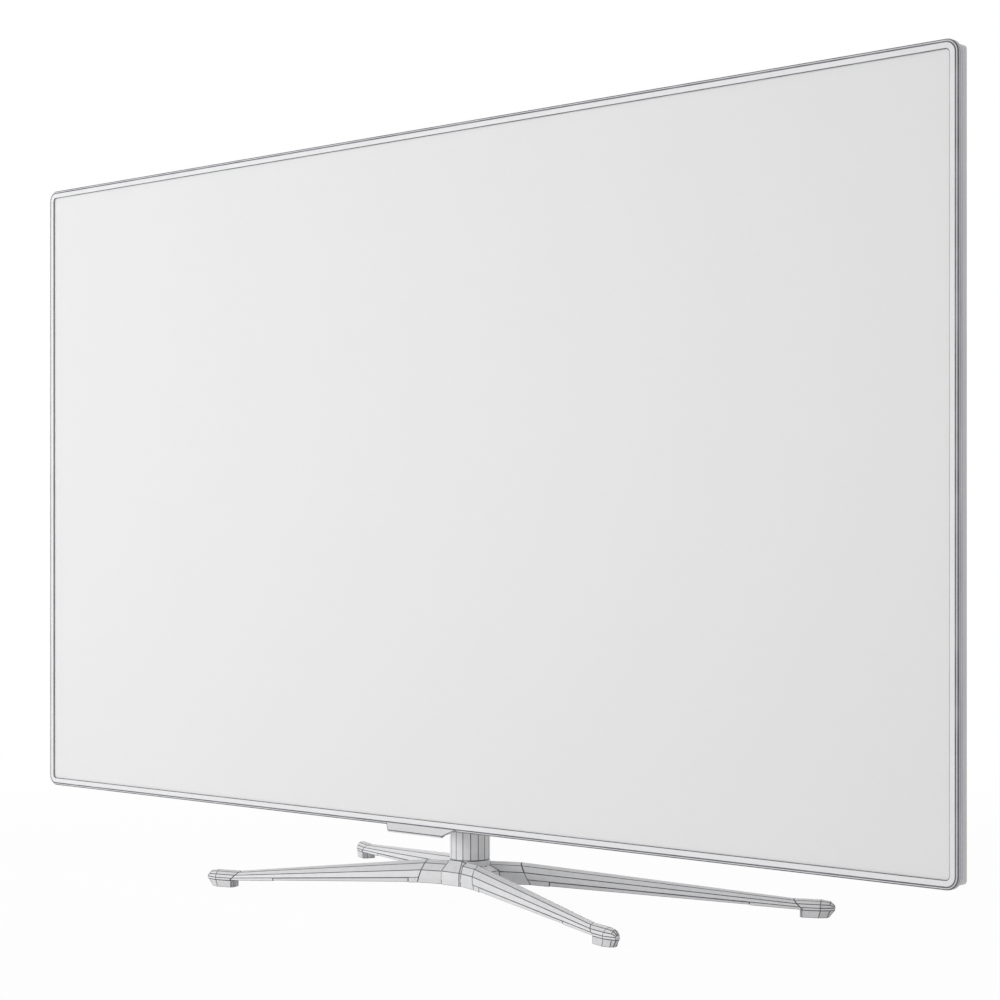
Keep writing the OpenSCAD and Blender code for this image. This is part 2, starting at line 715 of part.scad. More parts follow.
module front_bezel() color(pale_grey) display() difference() {
    hull() {
        plate(frame_w - 2 * bevel_w, frame_h - 2 * bevel_w, frame_r - bevel_w, 0, bevel_d / 2);
        plate(frame_w, frame_h, frame_r, bevel_d, bezel_depth);
    }
    upright(-cut, lip_t + cut) square([picture_w, picture_h], center = true);
    plate(frame_in_w, frame_in_h, pocket_r, lip_t, bezel_depth + cut);
}

module bezel_trim() color(mid_grey) display()
    ring(frame_w, frame_h, frame_r, frame_in_w, frame_in_h, pocket_r, bezel_depth, cover_y);

module panel_gasket() color(dark_grey) display() {
    open_w = picture_w + 2 * picture_lap;
    open_h = picture_h + 2 * picture_lap;
    ring(panel_w, panel_h, panel_border, open_w, open_h, 0, lip_t, panel_y);
}

module lcd_panel() color(pale_grey) display()
    upright(panel_y, frame_y) square([panel_w, panel_h], center = true);

// Ledge that carries the panel, with a skirt round the chassis
module mid_frame() color(dark_grey) display() {
    out_w = frame_in_w - 2 * fit;
    out_h = frame_in_h - 2 * fit;
    out_r = pocket_r - fit;
    ring(out_w, out_h, out_r, picture_w + 2 * picture_lap, picture_h + 2 * picture_lap, 0, frame_y, film_y);
    ring(out_w, out_h, out_r, chassis_w + fit, chassis_h + fit, chassis_r, film_y, cover_y);
}

module sheet(y0, y1) plate(guide_w, guide_h, sheet_r, y0, y1);
module optical_films() color("white") display() for (k = [0 : film_count - 1])
    sheet(film_y + k * film_t, film_y + (k + 1) * film_t);
module light_guide() color("lightcyan") display() sheet(guide_y, reflector_y);
module reflector_sheet() color("white") display() sheet(reflector_y, chassis_y);

// Board on the chassis wall with a row of packages facing the light guide
led_end = 10;
led_bar_h = guide_h - 2 * led_end;
led_pitch = 18;
led_l = 7;
module led_bar(side) color("white") display() mirror([side < 0 ? 1 : 0, 0, 0]) {
    wall_x = chassis_w / 2 - chassis_wall;
    face_x = wall_x - led_board_t;
    low = (picture_h - led_bar_h) / 2;
    block(face_x, wall_x, guide_y, reflector_y, low, low + led_bar_h);
    for (z = [low + led_pitch : led_pitch : low + led_bar_h - led_pitch])
        block(face_x - led_t, face_x, guide_y, reflector_y, z, z + led_l);
}
module led_bar_left() led_bar(-1);
module led_bar_right() led_bar(1);

// Pressed tray with bosses for the boards and holes for the cover's screws
module back_chassis() color(steel) display() difference() {
    union() {
        plate(chassis_w, chassis_h, chassis_r, chassis_y, inside_y);
        ring(
            chassis_w, chassis_h, chassis_r, chassis_w - 2 * chassis_wall, chassis_h - 2 * chassis_wall,
            chassis_r - chassis_wall, film_y, chassis_y
        );
        for (p = board_corners) rod_y(p[0], p[1], boss_r, chassis_y, board_y);
    }
    for (p = board_corners) rod_y(p[0], p[1], board_screw_r + run, inside_y, board_y + cut);
    for (p = cover_screw_at) rod_y(p[0], p[1], cover_screw_r + run, chassis_y - cut, inside_y + cut);
}

module board(b) difference() {
    block(b[0], b[1], board_y, part_y, b[2], b[3]);
    for (p = corners(b)) rod_y(p[0], p[1], board_screw_r + slip, board_y - cut, part_y + cut);
}

// Two long boards that drive the panel's columns, along the top
driver_hw = 150;
driver_top = picture_h - edge_screw_in - 10;
driver_h = 16;
module driver_boards() color(board_green) display() for (s = [-1, 1]) {
    mid_x = s * cover_w / 4;
    block(
        mid_x - driver_hw, mid_x + driver_hw, inside_y, inside_y + board_t, driver_top - driver_h, driver_top
    );
}

// Chips and plugs stand on a board: middle x and z on the board, width, height, and how far they stand up
module chip(x, z, w, h, t) block(x - w / 2, x + w / 2, part_y, part_y + t, z - h / 2, z + h / 2);
module can(x, z, r, t) rod_y(x, z, r, part_y, part_y + t);

plug_x = 60;
plug_w = 28;
plug_h = 8;
plug_t = 2.2;
timing_chip_w = 32;
timing_chip_h = 24;
timing_chip_t = 1.4;
module timing_board() color(board_green) display() {
    mid_z = (timing_rect[2] + timing_rect[3]) / 2;
    board(timing_rect);
    chip(0, mid_z, timing_chip_w, timing_chip_h, timing_chip_t);
    for (s = [-1, 1]) chip(s * plug_x, mid_z, plug_w, plug_h, plug_t);
}

// Heat source of the main board, under its heatsink, with memory, capacitors and the ribbon's plug
chip_in = 92;
chip_x = main_rect[0] + chip_in;
chip_z = (main_rect[2] + main_rect[3]) / 2;
chip_w = 30;
chip_t = 2;
memory_pitch = 20;
memory_rise = 46;
memory_w = 14;
memory_h = 9;
memory_t = 1.2;
can_pitch = 24;
can_rise = 30;
can_r = 4;
can_h = 9;
ribbon_plug_x = 29;
ribbon_plug_drop = 54;
ribbon_plug_w = 30;
ribbon_plug_h = 12;
ribbon_plug_t = 5;
module main_board() color(board_green) display() {
    board(main_rect);
    chip(chip_x, chip_z, chip_w, chip_w, chip_t);
    for (k = [-1.5 : 1.5])
        chip(chip_x + k * memory_pitch, chip_z + memory_rise, memory_w, memory_h, memory_t);
    for (k = [-2 : 2]) can(chip_x + k * can_pitch, main_rect[2] + can_rise, can_r, can_h);
    chip(
        main_rect[0] + ribbon_plug_x, main_rect[3] - ribbon_plug_drop, ribbon_plug_w, ribbon_plug_h,
        ribbon_plug_t
    );
}

fin_count = 9;
fin_t = 1.5;
fin_gap = 3;
sink_lap = 14;
sink_w = chip_w + 2 * sink_lap;
sink_t = 2;
module heatsink() color(mid_grey) display() {
    base_y = part_y + chip_t;
    left = chip_x - sink_w / 2;
    low = chip_z - sink_w / 2;
    block(left, left + sink_w, base_y, base_y + sink_t, low, low + sink_w);
    for (k = [0 : fin_count - 1]) {
        x = left + k * (sink_w - fin_t) / (fin_count - 1);
        block(x, x + fin_t, base_y + sink_t, pod_in_y - fin_gap, low, low + sink_w);
    }
}

// Two transformers, a filter coil, main and output capacitors and a plate heatsink.
// Each is x and z on the board, width, height, and how far it stays under the tallest
power_clear = 2;
main_coil = [52, 139, 44, 38, 0];
standby_coil = [138, 78, 36, 36, 0];
filter_coil = [38, 53, 28, 26, 3];
sink_plate = [90, 75, 3, 90, 2];
bulk_at = [100, 190];
bulk_pitch = 26;
bulk_r = 10;
bulk_drop = 1;
output_at = [180, 50];
output_pitch = 22;
output_r = 6;
output_drop = 4;
module power_board() color("peru") display() {
    tall = pod_in_y - part_y - power_clear;
    board(power_rect);
    translate([power_rect[0], 0, power_rect[2]]) {
        for (c = [main_coil, standby_coil, filter_coil, sink_plate])
            chip(c[0], c[1], c[2], c[3], tall - c[4]);
        for (k = [0 : 2]) can(bulk_at[0] + k * bulk_pitch, bulk_at[1], bulk_r, tall - bulk_drop);
        for (k = [0 : 3])
            can(output_at[0], output_at[1] + k * output_pitch, output_r, tall - output_drop);
    }
}

// Flat sealed box with two sound ports facing down
speaker_x = 160;
speaker_w = 240;
speaker_low = 8;
speaker_h = 44;
port_in = 30;
port_r = 3;
port_depth = 5;
module speaker(side) color(dark_grey) display() mirror([side < 0 ? 1 : 0, 0, 0]) difference() {
    block(speaker_x, speaker_x + speaker_w, inside_y, rim_in_y - slip, speaker_low, speaker_low + speaker_h);
    for (x = [speaker_x + port_in, speaker_x + speaker_w - port_in])
        translate([x, (inside_y + rim_in_y) / 2, speaker_low - cut])
            cylinder(r = port_r, h = port_depth + cut, $fn = round_n);
}
module speaker_left() speaker(-1);
module speaker_right() speaker(1);

// Small board with a shield can, flat on the chassis
wireless_x = -60;
wireless_rise = 262;
wireless_w = 44;
wireless_h = 26;
shield_w = 22;
shield_in = 3;
shield_t = 2.4;
module wireless_module() color(board_green) display()
    translate([wireless_x, inside_y, board_low + wireless_rise]) {
        cube([wireless_w, board_t, wireless_h]);
        translate([2 * shield_in, board_t, shield_in])
            cube([shield_w, shield_t, wireless_h - 2 * shield_in]);
    }

// Sloping plate hung from the middle of the frame's lower edge, with a flange under the frame
frame_low = -bezel_face - bevel_w;
module badge_tab() color(pale_grey) display() {
    fall = sqrt(pow(tab_low_y - tab_top_y, 2) + pow(tab_low_z + bezel_face, 2));
    back = tab_t / fall * [bezel_face + tab_low_z, tab_top_y - tab_low_y];
    heel = frame_low - tab_flange_t;
    intersection() {
        translate([-tab_top_hw, 0, 0]) rotate([90, 0, 90]) linear_extrude(2 * tab_top_hw) polygon([
            [tab_top_y, -bezel_face], [tab_low_y, tab_low_z], [tab_low_y - back[0], tab_low_z - back[1]],
            [bevel_d, heel], [bezel_depth, heel], [bezel_depth, frame_low], [bevel_d, frame_low],
            [0, -bezel_face]
        ]);
        upright(2 * tab_low_y, cover_y, 0) polygon([
            [-tab_low_hw, 2 * tab_low_z], [-tab_low_hw, tab_low_z], [-tab_top_hw, -bezel_face],
            [tab_top_hw, -bezel_face], [tab_low_hw, tab_low_z], [tab_low_hw, 2 * tab_low_z]
        ]);
    }
}

// Cup under the frame, behind the tab, that holds the remote and light sensor
module sensor_housing() color(dark_grey) display() difference() {
    block(-housing_w / 2, housing_w / 2, bezel_depth, cover_y, frame_low - housing_h, frame_low);
    block(
        -housing_w / 2 + housing_wall, housing_w / 2 - housing_wall, bezel_depth + housing_wall,
        cover_y - housing_wall, frame_low - housing_h + housing_wall, frame_low + cut
    );
}
module sensor_board() color(board_green) display() block(
    -housing_w / 2 + 2 * housing_wall, housing_w / 2 - 2 * housing_wall, bezel_depth + housing_wall,
    bezel_depth + housing_wall + sensor_board_t, frame_low - housing_h + housing_wall, frame_low - slip
);

// Outside of the back: thin bevelled rim, raised middle, and a boss round each wall-mount post
pod_z = pod_low + pod_h / 2;
module cover_outside() {
    plate(cover_w, cover_h, cover_r, cover_y, rim_depth - rim_bevel);
    intersection() {
        plate(cover_w, cover_h, cover_r, rim_depth - rim_bevel, rim_depth);
        sloped(
            cover_w, cover_h, cover_w - 2 * rim_bevel, cover_h - 2 * rim_bevel,
            rim_depth - rim_bevel, rim_depth, picture_h / 2
        );
    }
    sloped(pod_w, pod_h, pod_w - 2 * pod_slope, pod_h - 2 * pod_slope, rim_in_y, full_depth, pod_z);
    vesa_rods(vesa_post_r + fit + cover_skin, rim_in_y, full_depth - cut);
}
module cover_inside() {
    plate(cover_w - 2 * cover_wall, cover_h - 2 * cover_wall, cover_r - cover_wall, cover_y - cut, rim_in_y);
    sloped(
        pod_w - 2 * cover_skin, pod_h - 2 * cover_skin, pod_w - 2 * pod_slope - 2 * cover_skin,
        pod_h - 2 * pod_slope - 2 * cover_skin, rim_in_y - cut, pod_in_y, pod_z
    );
}
module rear_cover() color(pale_grey) display() difference() {
    union() {
        difference() {
            cover_outside();
            cover_inside();
        }
        intersection() {
            cover_outside();
            wells(cover_skin, well_floor - well_floor_t, 0);
        }
        for (p = cover_screw_at) rod_y(p[0], p[1], cover_post_r, inside_y, rim_in_y + cover_skin / 2);
    }
    wells(0, well_floor, cut);
    for (p = cover_screw_at) {
        rod_y(p[0], p[1], cover_screw_r + slip, inside_y - cut, rim_depth);
        rod_y(p[0], p[1], cover_head_r + slip, head_seat_y, rim_depth + cut);
    }
    vesa_rods(vesa_post_r + fit, rim_in_y - cut, full_depth + cut);
    bracket_holes(neck_screw_r + fit, pod_in_y - cut, full_depth + cut);
    rod_y(jog_x, jog_z, jog_cup_r + jog_wall + slip, rim_in_y - cut, rim_depth + cut);
    vents(pod_low + pod_h - pod_slope - vent_h - vent_edge, vent_top_x);
    vents(pod_low + pod_slope + vent_edge, vent_low_x);
    speaker_slots();
}

// Space of the two plug wells; wall adds their sides, and ahead runs them past the jack panel's face
module wells(wall, y0, ahead) {
    well(well_z, well_h + 2 * wall, wall, y0, ahead);
    mirror([1, 0, 0]) well(power_well_z, power_well_h + 2 * wall, wall, y0, ahead);
}
module well(z, h, wall, y0, ahead)
    block(jack_face - ahead, jack_face + well_len + wall, y0, full_depth + cut, z - h / 2, z + h / 2);

// Rows of upright slots through the raised middle, left and right of the centre
vent_pitch = 11;
vent_w = 5;
vent_h = 18;
vent_edge = 12;
vent_top_x = 40;
vent_low_x = 120;
vent_past = 140;
vent_end_x = vesa_pitch / 2 + vent_past;
module vents(z, x0) for (s = [-1, 1], x = [x0 : vent_pitch : vent_end_x])
    block(s * x - vent_w / 2, s * x + vent_w / 2, pod_in_y - cut, full_depth + cut, z, z + vent_h);

// Slots under the speakers
slot_pitch = 14;
slot_w = 10;
slot_count = 16;
module speaker_slots() for (s = [-1, 1], k = [0 : slot_count - 1]) {
    x = s * (speaker_x + slot_pitch + k * slot_pitch);
    low = (picture_h - cover_h) / 2;
    block(x - slot_w / 2, x + slot_w / 2, rim_in_y - 6, rim_in_y - 3, low - cut, low + cover_wall + cut);
}

// Threaded posts of the wall mount, each with a flange on the chassis
insert_top = full_depth - 0.5;
insert_depth = 15;
insert_flange_t = 2;
module vesa_rods(r, y0, y1) for (sx = [-1, 1], sz = [-1, 1])
    rod_y(sx * vesa_pitch / 2, picture_h / 2 + sz * vesa_pitch / 2, r, y0, y1);
module vesa_inserts() color(steel) display() difference() {
    union() {
        vesa_rods(vesa_post_r, inside_y, insert_top);
        vesa_rods(insert_flange_r, inside_y, inside_y + insert_flange_t);
    }
    vesa_rods(vesa_r, insert_top - insert_depth, insert_top + cut);
}

// Sockets on the main board's edge; each list entry is a height over the picture's lower edge
hdmi_size = [14, 6, 15.4];
usb_size = [16, 7, 14.6];
network_size = [17, 13, 16.4];
aerial_size = [11, 11, 14];
aerial_r = 4.8;
aerial_reach = 9;
pin_hole_r = 1.2;
socket_x = jack_face + jack_shift;
module socket_body(size, z) block(
    socket_x - size[0], socket_x, part_y, part_y + size[1], z - size[2] / 2, z + size[2] / 2
);
module socket_window(size, z) block(
    jack_x - cut, jack_face + cut, part_y - slip, part_y + size[1] + slip,
    z - size[2] / 2 - slip, z + size[2] / 2 + slip
);
module socket_mouth(size, z, wall, depth) block(
    socket_x - depth, socket_x + cut, part_y + wall, part_y + size[1] - wall,
    z - size[2] / 2 + wall, z + size[2] / 2 - wall
);
module tongue(size, z, t, side, depth) block(
    socket_x - depth - cut, socket_x - cut, part_y + size[1] / 2 - t / 2, part_y + size[1] / 2 + t / 2,
    z - size[2] / 2 + side, z + size[2] / 2 - side
);

module jack_panel() color(dark_grey) display() difference() {
    block(
        jack_x, jack_face, well_floor - well_floor_t, pod_in_y,
        well_z - well_h / 2 - cover_skin, well_z + well_h / 2 + cover_skin
    );
    for (z = hdmi_z) socket_window(hdmi_size, z);
    for (z = usb_z) socket_window(usb_size, z);
    socket_window(network_size, network_z);
    rod_x(part_y + aerial_size[1] / 2, aerial_z, aerial_r + slip, jack_x - cut, jack_face + cut);
}

module hdmi_sockets() color(steel) display() for (z = hdmi_z) {
    difference() {
        socket_body(hdmi_size, z);
        socket_mouth(hdmi_size, z, 0.6, 10);
    }
    tongue(hdmi_size, z, 1.6, 2.4, 10);
}
module usb_sockets() color(steel) display() for (z = usb_z) {
    difference() {
        socket_body(usb_size, z);
        socket_mouth(usb_size, z, 0.8, 12);
    }
    tongue(usb_size, z, 2, 2, 12);
}
module network_socket() color(steel) display() difference() {
    socket_body(network_size, network_z);
    socket_mouth(network_size, network_z, 2.2, 12);
}
module aerial_socket() color(steel) display() difference() {
    mid_y = part_y + aerial_size[1] / 2;
    union() {
        block(
            jack_x - aerial_size[0], jack_x, part_y, part_y + aerial_size[1],
            aerial_z - aerial_size[2] / 2, aerial_z + aerial_size[2] / 2
        );
        rod_x(mid_y, aerial_z, aerial_r, jack_x - cut, jack_face + aerial_reach);
    }
    rod_x(mid_y, aerial_z, pin_hole_r, jack_x, jack_face + aerial_reach + cut);
}

// Two-pin inlet that closes the end of the power well
inlet_y = (well_floor + pod_in_y) / 2;
inlet_pin_off = 4.3;
inlet_pin_r = 1.2;
inlet_mouth_r = 4;
inlet_waist = 2.2;
inlet_depth = 12;
inlet_body_hy = 7;
inlet_body_hz = 13;
inlet_wall = 3;
module power_inlet() color("black") display() mirror([1, 0, 0]) {
    plate_hz = power_well_h / 2 + cover_skin;
    floor_x = jack_face - inlet_depth;
    difference() {
        union() {
            block(
                jack_x, jack_face, well_floor - well_floor_t, pod_in_y,
                power_well_z - plate_hz, power_well_z + plate_hz
            );
            block(
                floor_x - inlet_wall, jack_x, inlet_y - inlet_body_hy, inlet_y + inlet_body_hy,
                power_well_z - inlet_body_hz, power_well_z + inlet_body_hz
            );
        }
        inlet_pins(inlet_mouth_r, floor_x, jack_face + cut);
        block(
            floor_x, jack_face + cut, inlet_y - inlet_waist, inlet_y + inlet_waist,
            power_well_z - inlet_pin_off, power_well_z + inlet_pin_off
        );
    }
    inlet_pins(inlet_pin_r, floor_x - cut, jack_face - 2);
}
module inlet_pins(r, x0, x1)
    for (s = [-1, 1]) rod_x(inlet_y, power_well_z + s * inlet_pin_off, r, x0, x1);

// Flat cable from the main board to the timing board, folded flat on the chassis
ribbon_w = 16;
ribbon_t = 0.5;
ribbon_in = 30;
ribbon_drop = 62;
ribbon_rise = 20;
module signal_ribbon() color("white") display() {
    left = timing_rect[1] - ribbon_in;
    right = main_rect[0] + ribbon_in;
    low = main_rect[3] - ribbon_drop;
    top = timing_rect[2] + ribbon_rise;
    block(left, right, inside_y, inside_y + ribbon_t, low, low + ribbon_w);
    block(left, left + ribbon_w, inside_y, inside_y + ribbon_t, low, top);
    block(left, left + ribbon_w, inside_y, board_y, top - ribbon_t, top);
    block(right - ribbon_t, right, inside_y, board_y, low, low + ribbon_w);
}

// Bundles of leads tied flat to the chassis: board to board, inlet to power board, and to each speaker
lead_x = 136;
lead_z = (power_rect[2] + power_rect[3]) / 2;
lead_low = 30;
lead_in = 20;
lead_t = 2;
board_lead_hw = 4;
sound_lead_hw = 2;
inlet_lead_hw = 3;
inlet_lead_x = power_rect[0] + lead_in;
inlet_lead_end = inlet_depth + inlet_wall;
module lead(x0, x1, z0, z1) block(x0, x1, inside_y, inside_y + lead_t, z0, z1);
module wiring_harness() color("firebrick") display() {
    board_bottom = lead_z - board_lead_hw;
    lead(power_rect[1] - lead_in, main_rect[0] + lead_in, board_bottom, lead_z + board_lead_hw);
    for (s = [-1, 1]) mirror([s < 0 ? 1 : 0, 0, 0]) {
        lead(lead_x - sound_lead_hw, lead_x + sound_lead_hw, lead_low, board_bottom);
        lead(lead_x, speaker_x, lead_low - sound_lead_hw, lead_low + sound_lead_hw);
    }
    lead(inlet_lead_x - inlet_lead_hw, inlet_lead_x + inlet_lead_hw, power_well_z, power_rect[2] + lead_in);
    lead(
        inlet_lead_end - jack_face, inlet_lead_x + inlet_lead_hw,
        power_well_z - inlet_lead_hw, power_well_z + inlet_lead_hw
    );
}

module cover_screws() color(steel) display() for (p = cover_screw_at) {
    rod_y(p[0], p[1], cover_head_r, head_seat_y + run, head_seat_y + run + cover_head_t);
    rod_y(p[0], p[1], cover_screw_r, chassis_y + slip, head_seat_y + run + cut);
}

module board_screws() color(steel) display() for (p = board_corners) {
    rod_y(p[0], p[1], board_head_r, part_y, part_y + board_head_t);
    rod_y(p[0], p[1], board_screw_r, inside_y, part_y + cut);
}

// Cup of the rear control, open at the back, with a bore at each side for the ring's pins
module jog_housing() color(dark_grey) display() difference() {
    union() {
        rod_y(jog_x, jog_z, jog_cup_out, jog_floor_y - jog_floor_t, rim_depth + jog_flange_t);
        rod_y(jog_x, jog_z, jog_flange_r, rim_depth, rim_depth + jog_flange_t);
    }
    rod_y(jog_x, jog_z, jog_cup_r, jog_floor_y, rim_depth + jog_flange_t + cut);
    bore_end = jog_cup_out - jog_bore_wall;
    rod_x(jog_pivot_y, jog_z, jog_pin_r + run, jog_x - bore_end, jog_x + bore_end);
}

// Gimbal ring: pins along X in the cup, bores along Z for the stick's pins
module jog_ring() color(mid_grey) display() difference() {
    union() {
        rod_y(jog_x, jog_z, jog_ring_r, jog_pivot_y - jog_ring_t / 2, jog_pivot_y + jog_ring_t / 2);
        rod_x(jog_pivot_y, jog_z, jog_pin_r, jog_x - jog_pin_end, jog_x + jog_pin_end);
    }
    rod_y(jog_x, jog_z, jog_ring_in, jog_pivot_y - jog_ring_t, jog_pivot_y + jog_ring_t);
    translate([jog_x, jog_pivot_y, jog_z - jog_ring_r - cut])
        cylinder(r = jog_pin_r + run, h = 2 * (jog_ring_r + cut), $fn = round_n);
}

module jog_stick() color(dark_grey) display() {
    rod_y(jog_x, jog_z, jog_stick_r, jog_pivot_y - jog_tail, rim_depth);
    rod_y(jog_x, jog_z, jog_neck_r, jog_pivot_y, jog_stick_end);
    translate([jog_x, jog_pivot_y, jog_z - jog_stick_pin])
        cylinder(r = jog_pin_r, h = 2 * jog_stick_pin, $fn = round_n);
}

// Push cap that slides on the stick's end
module jog_cap() color(pale_grey) display() difference() {
    union() {
        rod_y(jog_x, jog_z, jog_cap_r, jog_cap_y, jog_cap_y + jog_cap_t - jog_cap_step);
        rod_y(jog_x, jog_z, jog_cap_r - jog_cap_step, jog_cap_y, jog_cap_y + jog_cap_t);
    }
    rod_y(jog_x, jog_z, jog_neck_r + run, jog_cap_y - cut, jog_stick_end + jog_push + seam);
}

base_hub();
leg_front_left();
leg_front_right();
leg_rear_left();
leg_rear_right();
leg_end_caps();
leg_bottom_covers();
rubber_feet();
leg_screws();
hub_bottom_cover();
swivel_bush();
swivel_stop_pin();
thrust_washer();
swivel_shaft();
swivel_stop_plate();
wave_washer();
swivel_nut();
neck_column();
neck_bracket();
neck_cap();
neck_screws();
stand_bracket();
front_bezel();
bezel_trim();
panel_gasket();
lcd_panel();
optical_films();
light_guide();
reflector_sheet();
led_bar_left();
led_bar_right();
mid_frame();
back_chassis();
driver_boards();
timing_board();
main_board();
heatsink();
power_board();
speaker_left();
speaker_right();
wireless_module();
badge_tab();
sensor_housing();
sensor_board();
rear_cover();
vesa_inserts();
jack_panel();
hdmi_sockets();
usb_sockets();
network_socket();
aerial_socket();
power_inlet();
signal_ribbon();
wiring_harness();
cover_screws();
board_screws();
jog_housing();
jog_ring();
jog_stick();
jog_cap();
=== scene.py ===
"""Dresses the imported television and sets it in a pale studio.

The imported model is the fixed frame. Pieces that show are modelled here with the hand tools of
mesh editing, at their real sizes, and pieces that stay inside keep their solid and get a finish.
"""

import json
import logging
import math
import statistics
from abc import ABC, abstractmethod
from collections.abc import Callable
from dataclasses import dataclass
from enum import Enum

import bmesh
import bpy
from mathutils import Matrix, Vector

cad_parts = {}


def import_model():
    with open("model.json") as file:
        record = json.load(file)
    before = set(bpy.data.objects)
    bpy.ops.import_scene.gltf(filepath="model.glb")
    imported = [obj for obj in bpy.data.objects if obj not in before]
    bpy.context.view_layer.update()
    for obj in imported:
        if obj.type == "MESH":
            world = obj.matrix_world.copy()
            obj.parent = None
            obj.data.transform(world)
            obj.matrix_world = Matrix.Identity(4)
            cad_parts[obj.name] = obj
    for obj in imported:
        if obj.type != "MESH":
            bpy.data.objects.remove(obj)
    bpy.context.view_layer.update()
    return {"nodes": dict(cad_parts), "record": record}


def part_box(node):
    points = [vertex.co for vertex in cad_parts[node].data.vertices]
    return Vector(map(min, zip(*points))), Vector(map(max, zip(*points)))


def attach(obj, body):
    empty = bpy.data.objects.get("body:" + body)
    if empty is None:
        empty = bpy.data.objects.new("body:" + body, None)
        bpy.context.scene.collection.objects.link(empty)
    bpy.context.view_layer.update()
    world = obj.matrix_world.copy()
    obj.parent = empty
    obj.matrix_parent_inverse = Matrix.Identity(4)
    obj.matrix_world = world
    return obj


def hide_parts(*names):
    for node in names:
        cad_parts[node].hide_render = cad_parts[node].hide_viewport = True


MM = 0.001
# Turns in degrees between faces: every edge, ridges between flats, rims, and what counts as one round face
ANY_EDGE = (9.0, 180.0)
BLUNT = (9.0, 40.0)
SHARP = (40.0, 180.0)
SMOOTH_DEG = 8.0
ROUND_DEG = 25.0
# Turn in degrees under which triangles make one flat face
FLAT_DEG = 0.5
# Share of a face's normal that points down, over which the face is an underside
UNDER = 0.9
# Share of a direction along an axis, over which it counts as lying along that axis
FACING = 0.99
# Distance under which two points are one, and the reach of a cutter past the face that it cuts
WELD = MM / 100
PAST = MM
# Facets of a rounded corner
CORNER_STEPS = 16
log = logging.getLogger("television")


class Part(Enum):
    """What a pick selects in edit mode."""

    FACE = "FACE"
    EDGE = "EDGE"


def linear(shade: str) -> tuple[float, float, float, float]:
    """Turns an sRGB hex value into linear colour.

    Args:
        shade: six hex digits after a hash sign.

    Returns:
        Linear red, green and blue, with full alpha.
    """
    parts = [int(shade[k : k + 2], 16) / 255 for k in (1, 3, 5)]
    red, green, blue = [p / 12.92 if p <= 0.04045 else ((p + 0.055) / 1.055) ** 2.4 for p in parts]
    return red, green, blue, 1.0


def add_node(tree: bpy.types.NodeTree, kind: str, settings: dict, inputs: dict) -> bpy.types.Node:
    """Adds a shader node with its settings, socket values and links.

    Args:
        tree: node tree that gets the node.
        kind: Blender's name of the node type.
        settings: node properties by name.
        inputs: for each socket name or number, a value to set or an output to link.

    Returns:
        The new node.
    """
    made = tree.nodes.new(kind)
    for name, value in settings.items():
        setattr(made, name, value)
    for socket, value in inputs.items():
        if isinstance(value, bpy.types.NodeSocket):
            tree.links.new(value, made.inputs[socket])
        else:
            made.inputs[socket].default_value = value
    return made


def per_metre(size_mm: float) -> float:
    """Texture scale that repeats once in a given size.

    Args:
        size_mm: size in millimetres.

    Returns:
        Repeats in a metre.
    """
    return 1 / (size_mm * MM)


@dataclass(frozen=True)
class Finish(ABC):
    """A real material and the way its surface was made.

    Attributes:
        name: common name of the material.
        shade: main sRGB colour.
        low_shade: colour that the surface drifts towards.
        roughness: middle of the surface's roughness.
        grain_mm: width of the surface's grain.
        relief_mm: height of the grain.
        metallic: 1 for bare metal.
        ior: index of refraction of what isn't metal.
    """

    name: str
    shade: str
    low_shade: str
    roughness: float
    grain_mm: float
    relief_mm: float
    metallic: float = 0.0
    ior: float = 1.5

    def material(self) -> bpy.types.Material:
        """Builds the material on first use.

        Returns:
            The one material of this finish.
        """
        made = bpy.data.materials.get(self.name)
        if made is not None:
            return made
        made = bpy.data.materials.new(self.name)
        made.use_nodes = True
        tree = made.node_tree
        shader = tree.nodes["Principled BSDF"]
        shader.inputs["Metallic"].default_value = self.metallic
        if not self.metallic:
            shader.inputs["IOR"].default_value = self.ior
        place = add_node(tree, "ShaderNodeTexCoord", {}, {}).outputs["Object"]
        self.pattern(tree, place, shader)
        return made

    @abstractmethod
    def pattern(self, tree: bpy.types.NodeTree, place: bpy.types.NodeSocket, shader: bpy.types.Node) -> None:
        """Lays the surface's pattern into the shader.

        Args:
            tree: the material's node tree.
            place: object coordinates in metres.
            shader: the material's principled shader.
        """

    def tint(self, tree: bpy.types.NodeTree, share: bpy.types.NodeSocket) -> bpy.types.NodeSocket:
        """Blends the finish's two shades.

        Args:
            tree: the material's node tree.
            share: output that is 0 for the low shade and 1 for the main one.

        Returns:
            Output with the blended colour.
        """
        shades = {0: share, 6: linear(self.low_shade), 7: linear(self.shade)}
        return add_node(tree, "ShaderNodeMix", {"data_type": "RGBA"}, shades).outputs[2]

    def lay(
        self,
        tree: bpy.types.NodeTree,
        shader: bpy.types.Node,
        colour: bpy.types.NodeSocket,
        height: bpy.types.NodeSocket,
        spread: float,
    ) -> None:
        """Links colour, relief and roughness to the shader.

        Args:
            tree: the material's node tree.
            shader: the material's principled shader.
            colour: output with the surface's colour.
            height: output with the grain, from 0 to 1.
            spread: how far roughness strays from its middle.
        """
        tree.links.new(colour, shader.inputs["Base Color"])
        ends = {"To Min": self.roughness - spread, "To Max": self.roughness + spread}
        rough = add_node(tree, "ShaderNodeMapRange", {}, {"Value": height, **ends})
        tree.links.new(rough.outputs["Result"], shader.inputs["Roughness"])
        bump = add_node(tree, "ShaderNodeBump", {}, {"Distance": self.relief_mm * MM, "Height": height})
        tree.links.new(bump.outputs["Normal"], shader.inputs["Normal"])


